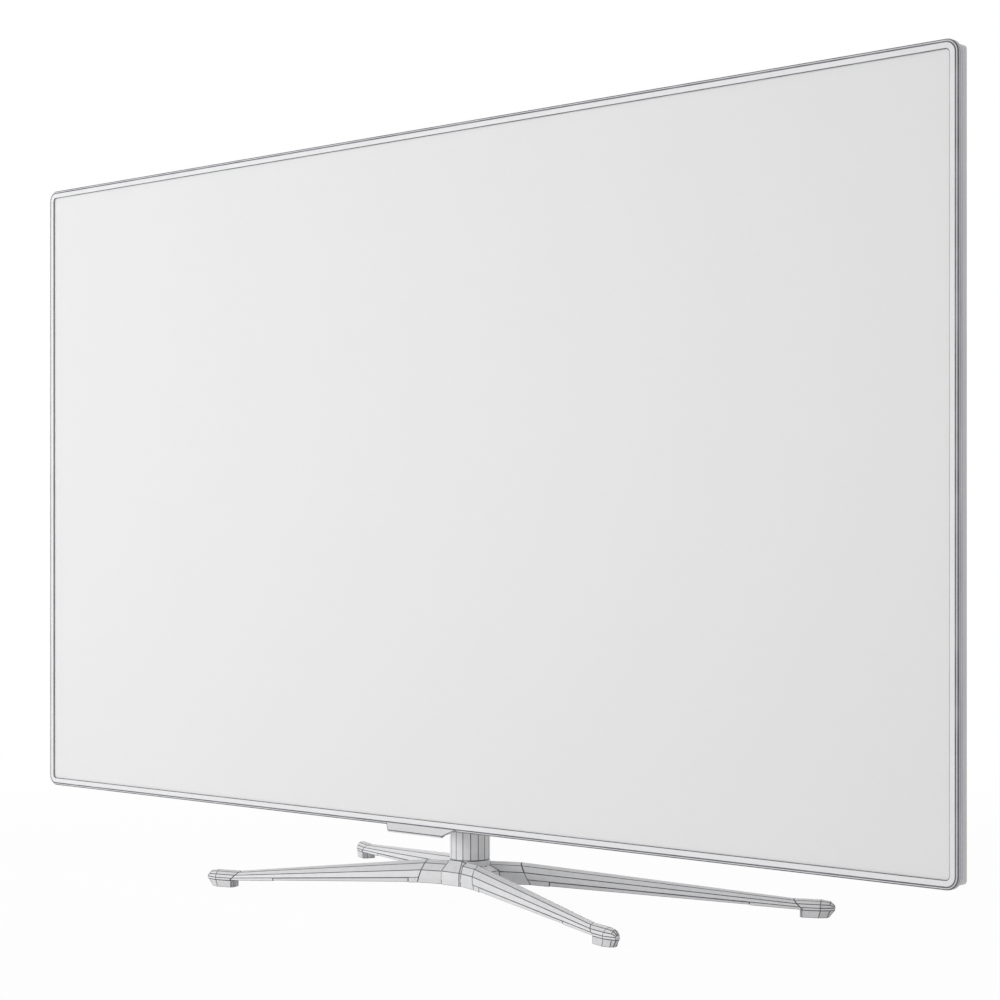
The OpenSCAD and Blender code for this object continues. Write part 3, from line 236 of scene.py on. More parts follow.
@dataclass(frozen=True)
class Moulded(Finish):
    """Injection moulded plastic or rubber: the tool's spark-eroded grain, and cloudy flow marks.

    Attributes:
        cloud_mm: width of the flow marks.
        grain_share: weight of the grain in the colour.
    """

    cloud_mm: float = 90.0
    grain_share: float = 0.45

    def pattern(self, tree: bpy.types.NodeTree, place: bpy.types.NodeSocket, shader: bpy.types.Node) -> None:
        """Draws fine grain over slow clouds of colour."""
        grain_in = {"Vector": place, "Scale": per_metre(self.grain_mm), "Detail": 4.0, "Roughness": 0.7}
        grain = add_node(tree, "ShaderNodeTexNoise", {}, grain_in)
        cloud = add_node(tree, "ShaderNodeTexNoise", {}, {"Vector": place, "Scale": per_metre(self.cloud_mm)})
        blend = add_node(
            tree,
            "ShaderNodeMath",
            {"operation": "MULTIPLY_ADD"},
            {0: grain.outputs[0], 1: self.grain_share, 2: cloud.outputs[0]},
        )
        self.lay(tree, shader, self.tint(tree, blend.outputs[0]), grain.outputs[0], spread=0.08)


@dataclass(frozen=True)
class PowderCoat(Finish):
    """Powder coat baked on metal: an orange-peel skin with tiny darker specks.

    Attributes:
        speck_mm: distance between specks.
    """

    speck_mm: float = 7.0

    def pattern(self, tree: bpy.types.NodeTree, place: bpy.types.NodeSocket, shader: bpy.types.Node) -> None:
        """Draws orange peel, and specks in the colour."""
        peel_in = {"Vector": place, "Scale": per_metre(self.grain_mm)}
        peel = add_node(tree, "ShaderNodeTexVoronoi", {"feature": "SMOOTH_F1"}, peel_in)
        speck_in = {"Vector": place, "Scale": per_metre(self.speck_mm), "Detail": 5.0}
        speck = add_node(tree, "ShaderNodeTexNoise", {}, speck_in)
        keep_in = {"Value": speck.outputs[0], "From Min": 0.3, "From Max": 0.55}
        keep = add_node(tree, "ShaderNodeMapRange", {}, keep_in)
        self.lay(tree, shader, self.tint(tree, keep.outputs["Result"]), peel.outputs["Distance"], spread=0.06)


@dataclass(frozen=True)
class Drawn(Finish):
    """Metal or sheath drawn through a die: lines along one direction, as long as they are given.

    Attributes:
        line_mm: size of a line along each axis.
    """

    line_mm: tuple[float, float, float] = (120.0, 0.4, 120.0)

    def pattern(self, tree: bpy.types.NodeTree, place: bpy.types.NodeSocket, shader: bpy.types.Node) -> None:
        """Draws die lines, and a soft drift of tone."""
        lines = {"Vector": place, "Scale": [per_metre(size) for size in self.line_mm]}
        stretched = add_node(tree, "ShaderNodeMapping", {}, lines)
        brush_in = {"Vector": stretched.outputs[0], "Scale": 1.0, "Detail": 3.0}
        brush = add_node(tree, "ShaderNodeTexNoise", {}, brush_in)
        drift = add_node(tree, "ShaderNodeTexNoise", {}, {"Vector": place, "Scale": per_metre(self.grain_mm)})
        tone_in = {0: brush.outputs[0], 1: drift.outputs[0]}
        tone = add_node(tree, "ShaderNodeMath", {"operation": "MULTIPLY"}, tone_in)
        spread_in = {"Value": tone.outputs[0], "From Min": 0.12, "From Max": 0.4}
        spread = add_node(tree, "ShaderNodeMapRange", {}, spread_in)
        self.lay(tree, shader, self.tint(tree, spread.outputs["Result"]), brush.outputs[0], spread=0.1)


@dataclass(frozen=True)
class Plated(Finish):
    """Zinc on rolled steel: faint crystals, each with a tone of its own.

    Attributes:
        fine: how many times finer the roll's relief is than a crystal.
    """

    fine: float = 6.0

    def pattern(self, tree: bpy.types.NodeTree, place: bpy.types.NodeSocket, shader: bpy.types.Node) -> None:
        """Draws crystals, and the roll's fine relief."""
        crystal_in = {"Vector": place, "Scale": per_metre(self.grain_mm)}
        crystal = add_node(tree, "ShaderNodeTexVoronoi", {}, crystal_in)
        roll_in = {"Vector": place, "Scale": per_metre(self.grain_mm / self.fine), "Detail": 3.0}
        roll = add_node(tree, "ShaderNodeTexNoise", {}, roll_in)
        tone = add_node(tree, "ShaderNodeSeparateColor", {}, {0: crystal.outputs["Color"]})
        self.lay(tree, shader, self.tint(tree, tone.outputs[0]), roll.outputs[0], spread=0.1)


@dataclass(frozen=True)
class Rubbed(Finish):
    """Edge where handling has rubbed the top coat thin: the darker ground shows in patches.

    Attributes:
        patch_mm: width of the patches.
    """

    patch_mm: float = 24.0

    def pattern(self, tree: bpy.types.NodeTree, place: bpy.types.NodeSocket, shader: bpy.types.Node) -> None:
        """Draws the ground through gaps in the coat."""
        patch_in = {"Vector": place, "Scale": per_metre(self.patch_mm), "Detail": 6.0}
        patch = add_node(tree, "ShaderNodeTexNoise", {}, patch_in)
        worn_in = {"Value": patch.outputs[0], "From Min": 0.35, "From Max": 0.8}
        worn = add_node(tree, "ShaderNodeMapRange", {}, worn_in)
        grain = add_node(tree, "ShaderNodeTexNoise", {}, {"Vector": place, "Scale": per_metre(self.grain_mm)})
        self.lay(tree, shader, self.tint(tree, worn.outputs["Result"]), grain.outputs[0], spread=0.05)


@dataclass(frozen=True)
class AntiGlare(Finish):
    """Etched front film of a picture panel: matt, with a fine sparkle."""

    def pattern(self, tree: bpy.types.NodeTree, place: bpy.types.NodeSocket, shader: bpy.types.Node) -> None:
        """Draws sparkle over the film."""
        sparkle_in = {"Vector": place, "Scale": per_metre(self.grain_mm), "Detail": 2.0}
        sparkle = add_node(tree, "ShaderNodeTexNoise", {}, sparkle_in)
        self.lay(tree, shader, self.tint(tree, sparkle.outputs[0]), sparkle.outputs[0], spread=0.05)


@dataclass(frozen=True)
class Etched(Finish):
    """Circuit board: copper tracks under lacquer, and tinned pads.

    Attributes:
        track_grains: length of a track, in grains.
        pad_grains: distance between pads, in grains.
        pad_share: radius of a pad, as a share of that distance.
        tin: colour of the pads.
    """

    track_grains: float = 8.0
    pad_grains: float = 4.0
    pad_share: float = 0.16
    tin: str = "#C8C5B8"

    def pattern(self, tree: bpy.types.NodeTree, place: bpy.types.NodeSocket, shader: bpy.types.Node) -> None:
        """Draws tracks as fine steps in the lacquer, with bright pads over them."""
        flat_in = {"Vector": place, "Rotation": (math.radians(90), 0.0, 0.0)}
        flat = add_node(tree, "ShaderNodeMapping", {}, flat_in)
        track_in = {
            "Vector": flat.outputs[0],
            "Scale": per_metre(self.grain_mm * self.track_grains),
            "Color1": linear(self.shade),
            "Color2": linear(self.low_shade),
            "Mortar": linear(self.low_shade),
            "Mortar Size": 0.03,
        }
        track = add_node(tree, "ShaderNodeTexBrick", {}, track_in)
        dots_in = {"Vector": place, "Scale": per_metre(self.grain_mm * self.pad_grains)}
        dots = add_node(tree, "ShaderNodeTexVoronoi", {}, dots_in)
        pad_in = {0: dots.outputs["Distance"], 1: self.pad_share}
        pad = add_node(tree, "ShaderNodeMath", {"operation": "LESS_THAN"}, pad_in)
        colour_in = {0: pad.outputs[0], 6: track.outputs["Color"], 7: linear(self.tin)}
        colour = add_node(tree, "ShaderNodeMix", {"data_type": "RGBA"}, colour_in)
        self.lay(tree, shader, colour.outputs[2], track.outputs["Fac"], spread=0.08)


class Finishes:
    """Every finish of the television, by the place that it is used."""

    # Moulded ABS with a fine tool grain, near white; the grain is drawn coarse so that it shows
    shell = Moulded("moulded_abs_shell", "#E4E4E5", "#D8D8DA", 0.5, 1.4, 0.012)
    stand_moulding = Moulded("moulded_abs_stand", "#E2E2E3", "#D5D5D7", 0.5, 1.4, 0.012)
    # Powder coated casting: satin, with orange peel about 2 mm across
    stand_coat = PowderCoat("powder_coated_casting", "#E2E2E3", "#DCDCDE", 0.45, 2.2, 0.03)
    # Coat rubbed thin along edges, down to the grey primer
    rubbed_shell = Rubbed("rubbed_abs_edge", "#84848B", "#525259", 0.5, 2.0, 0.005)
    rubbed_coat = Rubbed("rubbed_coat_edge", "#72727A", "#45454C", 0.5, 2.0, 0.005)
    # Edges on the back, where little is handled and the wear hardly shows
    back_edge = Rubbed("soft_abs_edge", "#CFCFD2", "#B4B4B9", 0.5, 2.0, 0.005)
    # Anodised aluminium band, drawn along its length: fine lines that stretch the light
    band = Drawn("anodised_aluminium_band", "#C6C6CD", "#A9A9B2", 0.38, 60.0, 0.004, metallic=1.0)
    # Matt film on glass: wide, dull sheen and a faint sparkle
    film = AntiGlare("anti_glare_film_on_glass", "#E3E3E3", "#DEDEDE", 0.55, 1.2, 0.003)
    # Soft thermoplastic of the feet: duller than the mouldings, clouded within each foot
    pad = Moulded("moulded_tpe_foot", "#DADADB", "#C6C6C8", 0.7, 0.9, 0.02, cloud_mm=14.0)
    # Closed-cell foam: dark, with open cut cells and no sheen
    foam = Moulded("cellular_foam_gasket", "#4A4A4C", "#38383A", 0.9, 0.8, 0.05)
    # Turned steel: bright, with short tool lines round the piece
    steel = Drawn(
        "bright_machined_steel", "#C9C9CC", "#A5A5AA", 0.3, 12.0, 0.004, metallic=1.0, line_mm=(9.0, 9.0, 0.3)
    )
    # Zinc plate: grey crystals about 5 mm across
    zinc = Plated("zinc_plated_steel", "#C4C6C9", "#ABADB2", 0.36, 5.0, 0.004, metallic=1.0)
    # Bronze pressed from powder: warm, with open pores that hold oil
    bronze = Moulded("sintered_bronze", "#B98A4E", "#8F6736", 0.4, 0.6, 0.02, metallic=1.0)
    # Acetal: creamy white and a little waxy
    acetal = Moulded("turned_acetal", "#EDEDE9", "#E2E2DD", 0.35, 1.0, 0.004, ior=1.48)
    # Polyester sheet of the panel's layers: white, even and nearly without relief
    sheet = Moulded("white_polyester_sheet", "#F2F2F2", "#E9E9E9", 0.6, 2.0, 0.002, ior=1.57)
    # Acrylic light guide: polished, with a faint blue-green cast
    acrylic = Moulded("clear_acrylic_guide", "#E6F0F0", "#DCE8E8", 0.12, 3.0, 0.002, ior=1.49)
    # Dark ABS of sockets, speakers and the joystick's inside
    dark_moulding = Moulded("moulded_dark_abs", "#3B3B3E", "#2E2E31", 0.55, 1.2, 0.015)
    # Boards: glass laminate under green lacquer, and plain paper laminate for the power supply
    lacquer = Etched("lacquered_green_board", "#1F6B45", "#17583A", 0.35, 0.6, 0.03)
    paper_board = Etched("paper_laminate_board", "#B58B55", "#A67C49", 0.5, 0.8, 0.03)
    # Extruded aluminium: die lines along the fins
    fins = Drawn(
        "extruded_aluminium", "#CDCDD0", "#B6B6BB", 0.35, 20.0, 0.006, metallic=1.0, line_mm=(0.5, 40.0, 40.0)
    )
    # PVC sheath: satin, with the extruder's faint lines
    lead = Drawn("extruded_pvc_lead", "#DAD8D2", "#C9C7C0", 0.45, 9.0, 0.02, line_mm=(60.0, 60.0, 1.2))


def hold(piece: bpy.types.Object) -> None:
    """Makes a piece the only selected object and the active one.

    Args:
        piece: object to hold.
    """
    bpy.ops.object.select_all(action="DESELECT")
    piece.select_set(True)
    bpy.context.view_layer.objects.active = piece


def settle(piece: bpy.types.Object) -> bpy.types.Object:
    """Puts a piece's place, turn and scale into its mesh.

    Args:
        piece: object that was added at its place.

    Returns:
        The same object, now at the origin.
    """
    hold(piece)
    bpy.ops.object.transform_apply(location=True, rotation=True, scale=True)
    return piece


def block(name: str, low: Vector, high: Vector) -> bpy.types.Object:
    """Adds a block between two corners.

    Args:
        name: name of the piece.
        low: lowest corner.
        high: highest corner.

    Returns:
        The block, settled at the origin.
    """
    bpy.ops.object.select_all(action="DESELECT")
    bpy.ops.mesh.primitive_cube_add(size=1.0, location=(low + high) / 2, scale=high - low)
    bpy.context.object.name = name
    return settle(bpy.context.object)


def drum(name: str, middle: Vector, radius: float, depth: float, sides: int) -> bpy.types.Object:
    """Adds an upright drum round a middle point.

    Args:
        name: name of the piece.
        middle: middle of the drum.
        radius: radius through its corners.
        depth: height of the drum.
        sides: number of sides.

    Returns:
        The drum, settled at the origin.
    """
    bpy.ops.object.select_all(action="DESELECT")
    bpy.ops.mesh.primitive_cylinder_add(vertices=sides, radius=radius, depth=depth, location=middle)
    bpy.context.object.name = name
    return settle(bpy.context.object)


def pick(piece: bpy.types.Object, part: Part, wanted: Callable) -> None:
    """Selects faces or edges in edit mode, by their place or turn.

    Args:
        piece: object in edit mode.
        part: what to select.
        wanted: asked with each face or edge of the mesh.
    """
    bpy.ops.mesh.select_mode(type=part.value)
    bpy.ops.mesh.select_all(action="DESELECT")
    mesh = bmesh.from_edit_mesh(piece.data)
    for item in mesh.faces if part is Part.FACE else mesh.edges:
        item.select_set(wanted(item))
    mesh.select_flush_mode()
    bmesh.update_edit_mesh(piece.data)


def along(edge: bmesh.types.BMEdge) -> Vector:
    """Finds the direction of an edge.

    Args:
        edge: edge to look at.

    Returns:
        The absolute share of each axis.
    """
    run = (edge.verts[1].co - edge.verts[0].co).normalized()
    return Vector([abs(share) for share in run])


def edit(piece: bpy.types.Object) -> None:
    """Opens a piece in edit mode.

    Args:
        piece: object to open.
    """
    hold(piece)
    bpy.ops.object.mode_set(mode="EDIT")


def done() -> None:
    """Leaves edit mode."""
    bpy.ops.object.mode_set(mode="OBJECT")


def apply_modifier(piece: bpy.types.Object, kind: str, settings: dict) -> None:
    """Adds one modifier to a piece and applies it.

    Args:
        piece: object to change.
        kind: Blender's name of the modifier type.
        settings: modifier properties by name.
    """
    hold(piece)
    modifier = piece.modifiers.new(kind.lower(), kind)
    for name, value in settings.items():
        setattr(modifier, name, value)
    bpy.ops.object.modifier_apply(modifier=modifier.name)


def cut_away(piece: bpy.types.Object, cutter: bpy.types.Object) -> None:
    """Cuts one shape out of another and clears the cutter away.

    Args:
        piece: object to cut.
        cutter: shape to take out.
    """
    apply_modifier(piece, "BOOLEAN", {"object": cutter, "operation": "DIFFERENCE", "solver": "EXACT"})
    bpy.data.objects.remove(cutter)


def round_corners(piece: bpy.types.Object, radius: float) -> None:
    """Rounds the four corners of an upright plate that run front to back.

    Args:
        piece: block to round.
        radius: corner radius.
    """
    edit(piece)
    pick(piece, Part.EDGE, lambda edge: along(edge).y > FACING)
    bpy.ops.mesh.bevel(offset=radius, segments=CORNER_STEPS, affect="EDGES")
    done()


def paint(piece: bpy.types.Object, body: Finish, edge: Finish) -> None:
    """Gives a piece its finishes.

    Args:
        piece: object to finish.
        body: finish of the whole piece, in its first slot.
        edge: finish of its broken edges, in its second slot.
    """
    piece.data.materials.clear()
    piece.data.materials.append(body.material())
    piece.data.materials.append(edge.material())


def give(piece: bpy.types.Object, slot: int) -> None:
    """Gives the selected faces of a piece the finish in one of its slots.

    Args:
        piece: object in edit mode.
        slot: number of the slot.
    """
    piece.active_material_index = slot
    bpy.ops.object.material_slot_assign()


def break_edges(
    piece: bpy.types.Object,
    width_mm: float,
    turn_deg: tuple[float, float],
    shortest_mm: float = 0.0,
    room_mm: float = 0.0,
) -> None:
    """Breaks edges of a piece and gives them the finish in its second slot.

    Args:
        piece: object to finish.
        width_mm: width that the broken edge takes from each face.
        turn_deg: least and greatest turn of the edges that are broken.
        shortest_mm: length under which an edge stays as it is.
        room_mm: mean width of a face under which its edges stay as they are.
    """
    least, most = [math.radians(turn) for turn in turn_deg]

    def wanted(edge: bmesh.types.BMEdge) -> bool:
        """Tells whether an edge is broken, by turn, length and room. A nook underneath stays as it is."""
        length = edge.calc_length()
        if length <= shortest_mm * MM or not least < edge.calc_face_angle(0.0) <= most:
            return False
        if not edge.is_convex and any(face.normal.z < -UNDER for face in edge.link_faces):
            return False
        return all(face.calc_area() > room_mm * MM * length for face in edge.link_faces)

    edit(piece)
    pick(piece, Part.EDGE, wanted)
    bpy.ops.mesh.bevel(offset=width_mm * MM, segments=1, affect="EDGES", clamp_overlap=False, material=1)
    done()


def shade(piece: bpy.types.Object, smooth_deg: float) -> None:
    """Shades a piece smooth over slight turns, and flat elsewhere.

    Args:
        piece: object to shade.
        smooth_deg: turn under which an edge is smooth.
    """
    hold(piece)
    bpy.ops.object.shade_smooth_by_angle(angle=math.radians(smooth_deg))


@dataclass
class Bench:
    """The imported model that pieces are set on.

    Attributes:
        nodes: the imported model's solids by name.
        body_of: the body that each solid rides on.
    """

    nodes: dict[str, bpy.types.Object]
    body_of: dict[str, str]

    def copy(self, node: str, name: str, pierced: bool = False) -> bpy.types.Object:
        """Starts a piece from a solid's own shape, with its triangles joined to whole faces.

        Args:
            node: solid to start from.
            name: name of the piece.
            pierced: whether its underside is pierced, and so keeps its triangles.

        Returns:
            The new piece.
        """
        piece = bpy.data.objects.new(name, self.nodes[node].data.copy())
        bpy.context.scene.collection.objects.link(piece)
        hold(piece)
        bpy.ops.mesh.customdata_custom_splitnormals_clear()
        edit(piece)
        bpy.ops.mesh.select_all(action="SELECT")
        bpy.ops.mesh.remove_doubles(threshold=WELD)
        pick(piece, Part.FACE, lambda face: not pierced or face.normal.z > -FACING)
        bpy.ops.mesh.dissolve_limited(angle_limit=math.radians(FLAT_DEG))
        done()
        return piece

    def hand_over(self, piece: bpy.types.Object, slot: str, *stands_for: str) -> None:
        """Sets a finished piece on the body of the solids that it stands for.

        Args:
            piece: finished piece.
            slot: material slot of the record; not used.
            stands_for: solids that the piece replaces.
        """
        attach(piece, self.body_of[stands_for[0]])
        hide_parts(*stands_for)
        log.info("%s stands for %s, %d faces", piece.name, ", ".join(stands_for), len(piece.data.polygons))

    def dress(self, finish: Finish, *nodes: str) -> None:
        """Gives solids that keep their shape a finish.

        Args:
            finish: finish to give.
            nodes: solids that get it.
        """
        for node in nodes:
            self.nodes[node].data.materials.clear()
            self.nodes[node].data.materials.append(finish.material())
            log.info("%s keeps its solid in %s", node, finish.name)


@dataclass
class PictureFrame:
    """Picture panel with its bezel, the band behind it and the tab under it. Sizes are in millimetres.

    Attributes:
        face_w: flat face of the bezel.
        bevel_w: width of the bevel round the face.
        bevel_d: drop of the bevel.
        wall: side wall of bezel and band.
        lip_t: thickness of the lip over the panel.
        corner_r: radius of the outer corners.
        pocket_r: radius of the inner corners.
        opening_r: radius of the opening's corners.
        ridge_w: width of the broken edge between face and bevel.
        line_w: width of the other broken edges.
        rub_w: width of the rubbed part of the bevel, along the outer edge.
        lead_w: width of the rubbed lead-in round the picture.
        lead_d: drop of the lead-in.
        glass_w: width of the edges of glass and band.
        band_rub_w: width of the rubbed part of the band, along its back edge.
    """

    bench: Bench
    face_w: float = 6.0
    bevel_w: float = 2.5
    bevel_d: float = 0.9
    wall: float = 2.0
    lip_t: float = 1.4
    corner_r: float = 12.0
    pocket_r: float = 8.0
    opening_r: float = 3.7
    ridge_w: float = 0.7
    line_w: float = 0.5
    rub_w: float = 1.1
    lead_w: float = 0.7
    lead_d: float = 0.06
    glass_w: float = 0.3
    band_rub_w: float = 0.9

    def build(self) -> None:
        """Makes the pieces of the front, from the picture outwards."""
        self.picture()
        self.bezel()
        self.band()
        self.tab()

    def picture(self) -> None:
        """Picture panel with its glass edges ground."""
        low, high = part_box("lcd_panel")
        piece = block("picture_panel", low, high)
        paint(piece, Finishes.film, Finishes.foam)
        break_edges(piece, self.glass_w, SHARP)
        self.bench.hand_over(piece, "panel_glass", "lcd_panel")

    def bezel(self) -> None:
        """Bezel with its bevel, its lip over the panel and its pocket."""
        low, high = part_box("front_bezel")
        face = low.y
        piece = block("bezel_frame", Vector((low.x, face + self.bevel_d * MM, low.z)), high)
        round_corners(piece, self.corner_r * MM)
        paint(piece, Finishes.shell, Finishes.rubbed_shell)
        edit(piece)
        pick(piece, Part.FACE, lambda item: item.normal.y < -FACING)
        rubbed = self.rub_w / self.bevel_w
        give(piece, 1)
        bpy.ops.mesh.inset(thickness=self.rub_w * MM, depth=rubbed * self.bevel_d * MM)
        give(piece, 0)
        rest = 1 - rubbed
        bpy.ops.mesh.inset(thickness=rest * self.bevel_w * MM, depth=rest * self.bevel_d * MM)
        bpy.ops.mesh.inset(thickness=(self.face_w - self.lead_w) * MM)
        give(piece, 1)
        # The lead-in starts twice as wide as it shows, and the opening cuts it to its width
        bpy.ops.mesh.inset(thickness=2 * self.lead_w * MM, depth=-2 * self.lead_d * MM)
        done()
        rim = (self.face_w + self.bevel_w) * MM
        step = Vector((rim, -PAST, rim))
        opening = block("opening", low + step, high - step)
        round_corners(opening, self.opening_r * MM)
        cut_away(piece, opening)
        inner = Vector((self.wall * MM, 0.0, self.wall * MM))
        floor = Vector((0.0, self.lip_t * MM, 0.0))
        pocket = block("pocket", low + inner + floor, high - inner + Vector((0.0, PAST, 0.0)))
        round_corners(pocket, self.pocket_r * MM)
        cut_away(piece, pocket)
        break_edges(piece, self.ridge_w, BLUNT)
        break_edges(piece, self.line_w, SHARP)
        shade(piece, SMOOTH_DEG)
        self.bench.hand_over(piece, "shell_plastic", "front_bezel")

    def band(self) -> None:
        """Metal band between the bezel and the rear cover."""
        low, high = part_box("bezel_trim")
        piece = block("trim_band", low, high)
        round_corners(piece, self.corner_r * MM)
        inner = Vector((self.wall * MM, -PAST, self.wall * MM))
        hollow = block("hollow", low + inner, high - inner)
        round_corners(hollow, self.pocket_r * MM)
        cut_away(piece, hollow)
        paint(piece, Finishes.band, Finishes.rubbed_coat)
        break_edges(piece, self.glass_w, SHARP)
        rub_y = high.y - self.band_rub_w * MM
        edit(piece)
        bpy.ops.mesh.select_all(action="SELECT")
        bpy.ops.mesh.bisect(plane_co=(0.0, rub_y, 0.0), plane_no=(0.0, 1.0, 0.0))
        pick(piece, Part.FACE, lambda face: face.calc_center_median().y > rub_y)
        give(piece, 1)
        done()
        shade(piece, SMOOTH_DEG)
        self.bench.hand_over(piece, "trim_metal", "bezel_trim")

    def tab(self) -> None:
        """Bare tab under the picture."""
        piece = self.bench.copy("badge_tab", "front_tab")
        paint(piece, Finishes.shell, Finishes.rubbed_coat)
        break_edges(piece, self.line_w, SHARP)
        edit(piece)
        least = max(face.area for face in piece.data.polygons if face.normal.y < 0) - MM * MM
        pick(piece, Part.FACE, lambda face: face.calc_area() > least and face.normal.y < 0)
        give(piece, 1)
        bpy.ops.mesh.inset(thickness=self.line_w * MM)
        give(piece, 0)
        done()
        shade(piece, SMOOTH_DEG)
        self.bench.hand_over(piece, "shell_plastic", "badge_tab")
        self.bench.dress(Finishes.dark_moulding, "sensor_housing")


@dataclass
class Stand:
    """Hub, legs, tips, soles and feet, and the neck on top. Sizes are in millimetres.

    Attributes:
        neck_sides: flats round the neck.
        neck_wall: wall of the neck's tube.
        line_w: width of the broken edges.
        shortest: length under which an edge stays as it is.
        lip_w: mean width under which a face's edges stay as they are.
        ridge_l: length over which an edge of a leg counts as a ridge.
        slant: share by which a crease departs from the fall of the ridges.
        nose_turn: greatest turn within a flat of a tip's nose, in radians.
        rub_w: width of the rubbed part of a leg's sides, along its underside.
    """

    bench: Bench
    neck_sides: int = 16
    neck_wall: float = 3.0
    line_w: float = 0.45
    shortest: float = 1.2
    lip_w: float = 0.8
    ridge_l: float = 150.0
    slant: float = 0.02
    nose_turn: float = math.radians(60)
    rub_w: float = 0.7

    def build(self) -> None:
        """Makes the pieces of the stand, from the floor up."""
        self.facetted("rubber_feet", "foot_pads", "foot_rubber", Finishes.pad)
        self.facetted("leg_end_caps", "leg_tips", "stand_plastic", Finishes.stand_moulding)
        self.facetted("leg_bottom_covers", "sole_strips", "stand_plastic", Finishes.stand_moulding)
        for corner in ("front_left", "front_right", "rear_left", "rear_right"):
            self.facetted("leg_" + corner, "leg_casting_" + corner, "stand_paint", Finishes.stand_coat)
        self.facetted("base_hub", "hub_casting", "stand_paint", Finishes.stand_coat)
        self.neck()
        self.bench.dress(Finishes.stand_moulding, "hub_bottom_cover")
        self.bench.dress(Finishes.steel, "leg_screws", "swivel_shaft", "swivel_stop_pin")
        self.bench.dress(Finishes.steel, "swivel_stop_plate", "wave_washer", "swivel_nut")
        self.bench.dress(Finishes.bronze, "swivel_bush")
        self.bench.dress(Finishes.acetal, "thrust_washer")

    def facetted(self, node: str, name: str, slot: str, finish: Finish) -> None:
        """Piece with the solid's own flats and rubbed edges between them.

        Args:
            node: solid to start from.
            name: name of the piece.
            slot: material slot of the record.
            finish: finish of its flats.
        """
        piece = self.bench.copy(node, name, node == "base_hub")
        leg = node.startswith("leg_") and slot == "stand_paint"
        if leg:
            self.untwist(piece)
        elif node in ("leg_end_caps", "rubber_feet"):
            edit(piece)
            bpy.ops.mesh.select_all(action="SELECT")
            bpy.ops.mesh.tris_convert_to_quads(face_threshold=self.nose_turn, shape_threshold=self.nose_turn)
            done()
        edit(piece)
        pick(piece, Part.FACE, lambda face: face.normal.z < -UNDER)
        bpy.ops.mesh.vert_connect_concave()
        done()
        paint(piece, finish, Finishes.rubbed_coat)
        break_edges(piece, self.line_w, ANY_EDGE, self.shortest, self.lip_w)
        if leg:
            self.rub_low_edge(piece)
        shade(piece, SMOOTH_DEG)
        self.bench.hand_over(piece, slot, node)

    def untwist(self, piece: bpy.types.Object) -> None:
        """Takes out the creases that cross the twisted flats of a leg from corner to corner.

        The ridges all fall by the same share of their height towards the tip, and a crease doesn't.

        Args:
            piece: leg to mend.
        """
        mesh = piece.data
        falls = []
        for edge in mesh.edges:
            first, second = [mesh.vertices[k].co for k in edge.vertices]
            if (first - second).length > self.ridge_l * MM:
                falls.append(min(first.z, second.z) / max(first.z, second.z))
        usual = statistics.median(falls)

        def crease(edge: bmesh.types.BMEdge) -> bool:
            """Tells whether a long edge falls otherwise than the ridges."""
            low, high = sorted(vertex.co.z for vertex in edge.verts)
            return edge.calc_length() > self.ridge_l * MM and abs(low / high - usual) > self.slant

        edit(piece)
        pick(piece, Part.EDGE, crease)
        bpy.ops.mesh.dissolve_edges(use_verts=False)
        done()

    def rub_low_edge(self, piece: bpy.types.Object) -> None:
        """Cuts a narrow rubbed band into the sides of a leg, just over its underside.

        Args:
            piece: leg to finish.
        """
        lowest = [face for face in piece.data.polygons if face.normal.z < -UNDER]
        sole = max(lowest, key=lambda face: face.area)
        down = sole.normal.copy()
        width = self.rub_w * MM
        start = sole.center - down * width

        def banded(face: bmesh.types.BMFace) -> bool:
            """Tells whether a face of the sides lies within the band."""
            return face.normal.z > -UNDER and 0 < (face.calc_center_median() - start).dot(down) < width

        edit(piece)
        bpy.ops.mesh.select_all(action="SELECT")
        bpy.ops.mesh.bisect(plane_co=start, plane_no=down)
        pick(piece, Part.FACE, banded)
        give(piece, 1)
        done()

    def neck(self) -> None:
        """Neck tube with flats all round."""
        low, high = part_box("neck_column")
        middle = (low + high) / 2
        radius = (high.x - low.x) / 2
        piece = drum("neck_tube", middle, radius, high.z - low.z, self.neck_sides)
        edit(piece)
        pick(piece, Part.FACE, lambda face: abs(face.normal.z) > FACING)
        bpy.ops.mesh.inset(thickness=self.neck_wall * MM)
        bpy.ops.mesh.bridge_edge_loops()
        done()
        paint(piece, Finishes.stand_coat, Finishes.rubbed_coat)
        break_edges(piece, self.line_w, ANY_EDGE)
        shade(piece, SMOOTH_DEG)
        self.bench.hand_over(piece, "stand_paint", "neck_column")


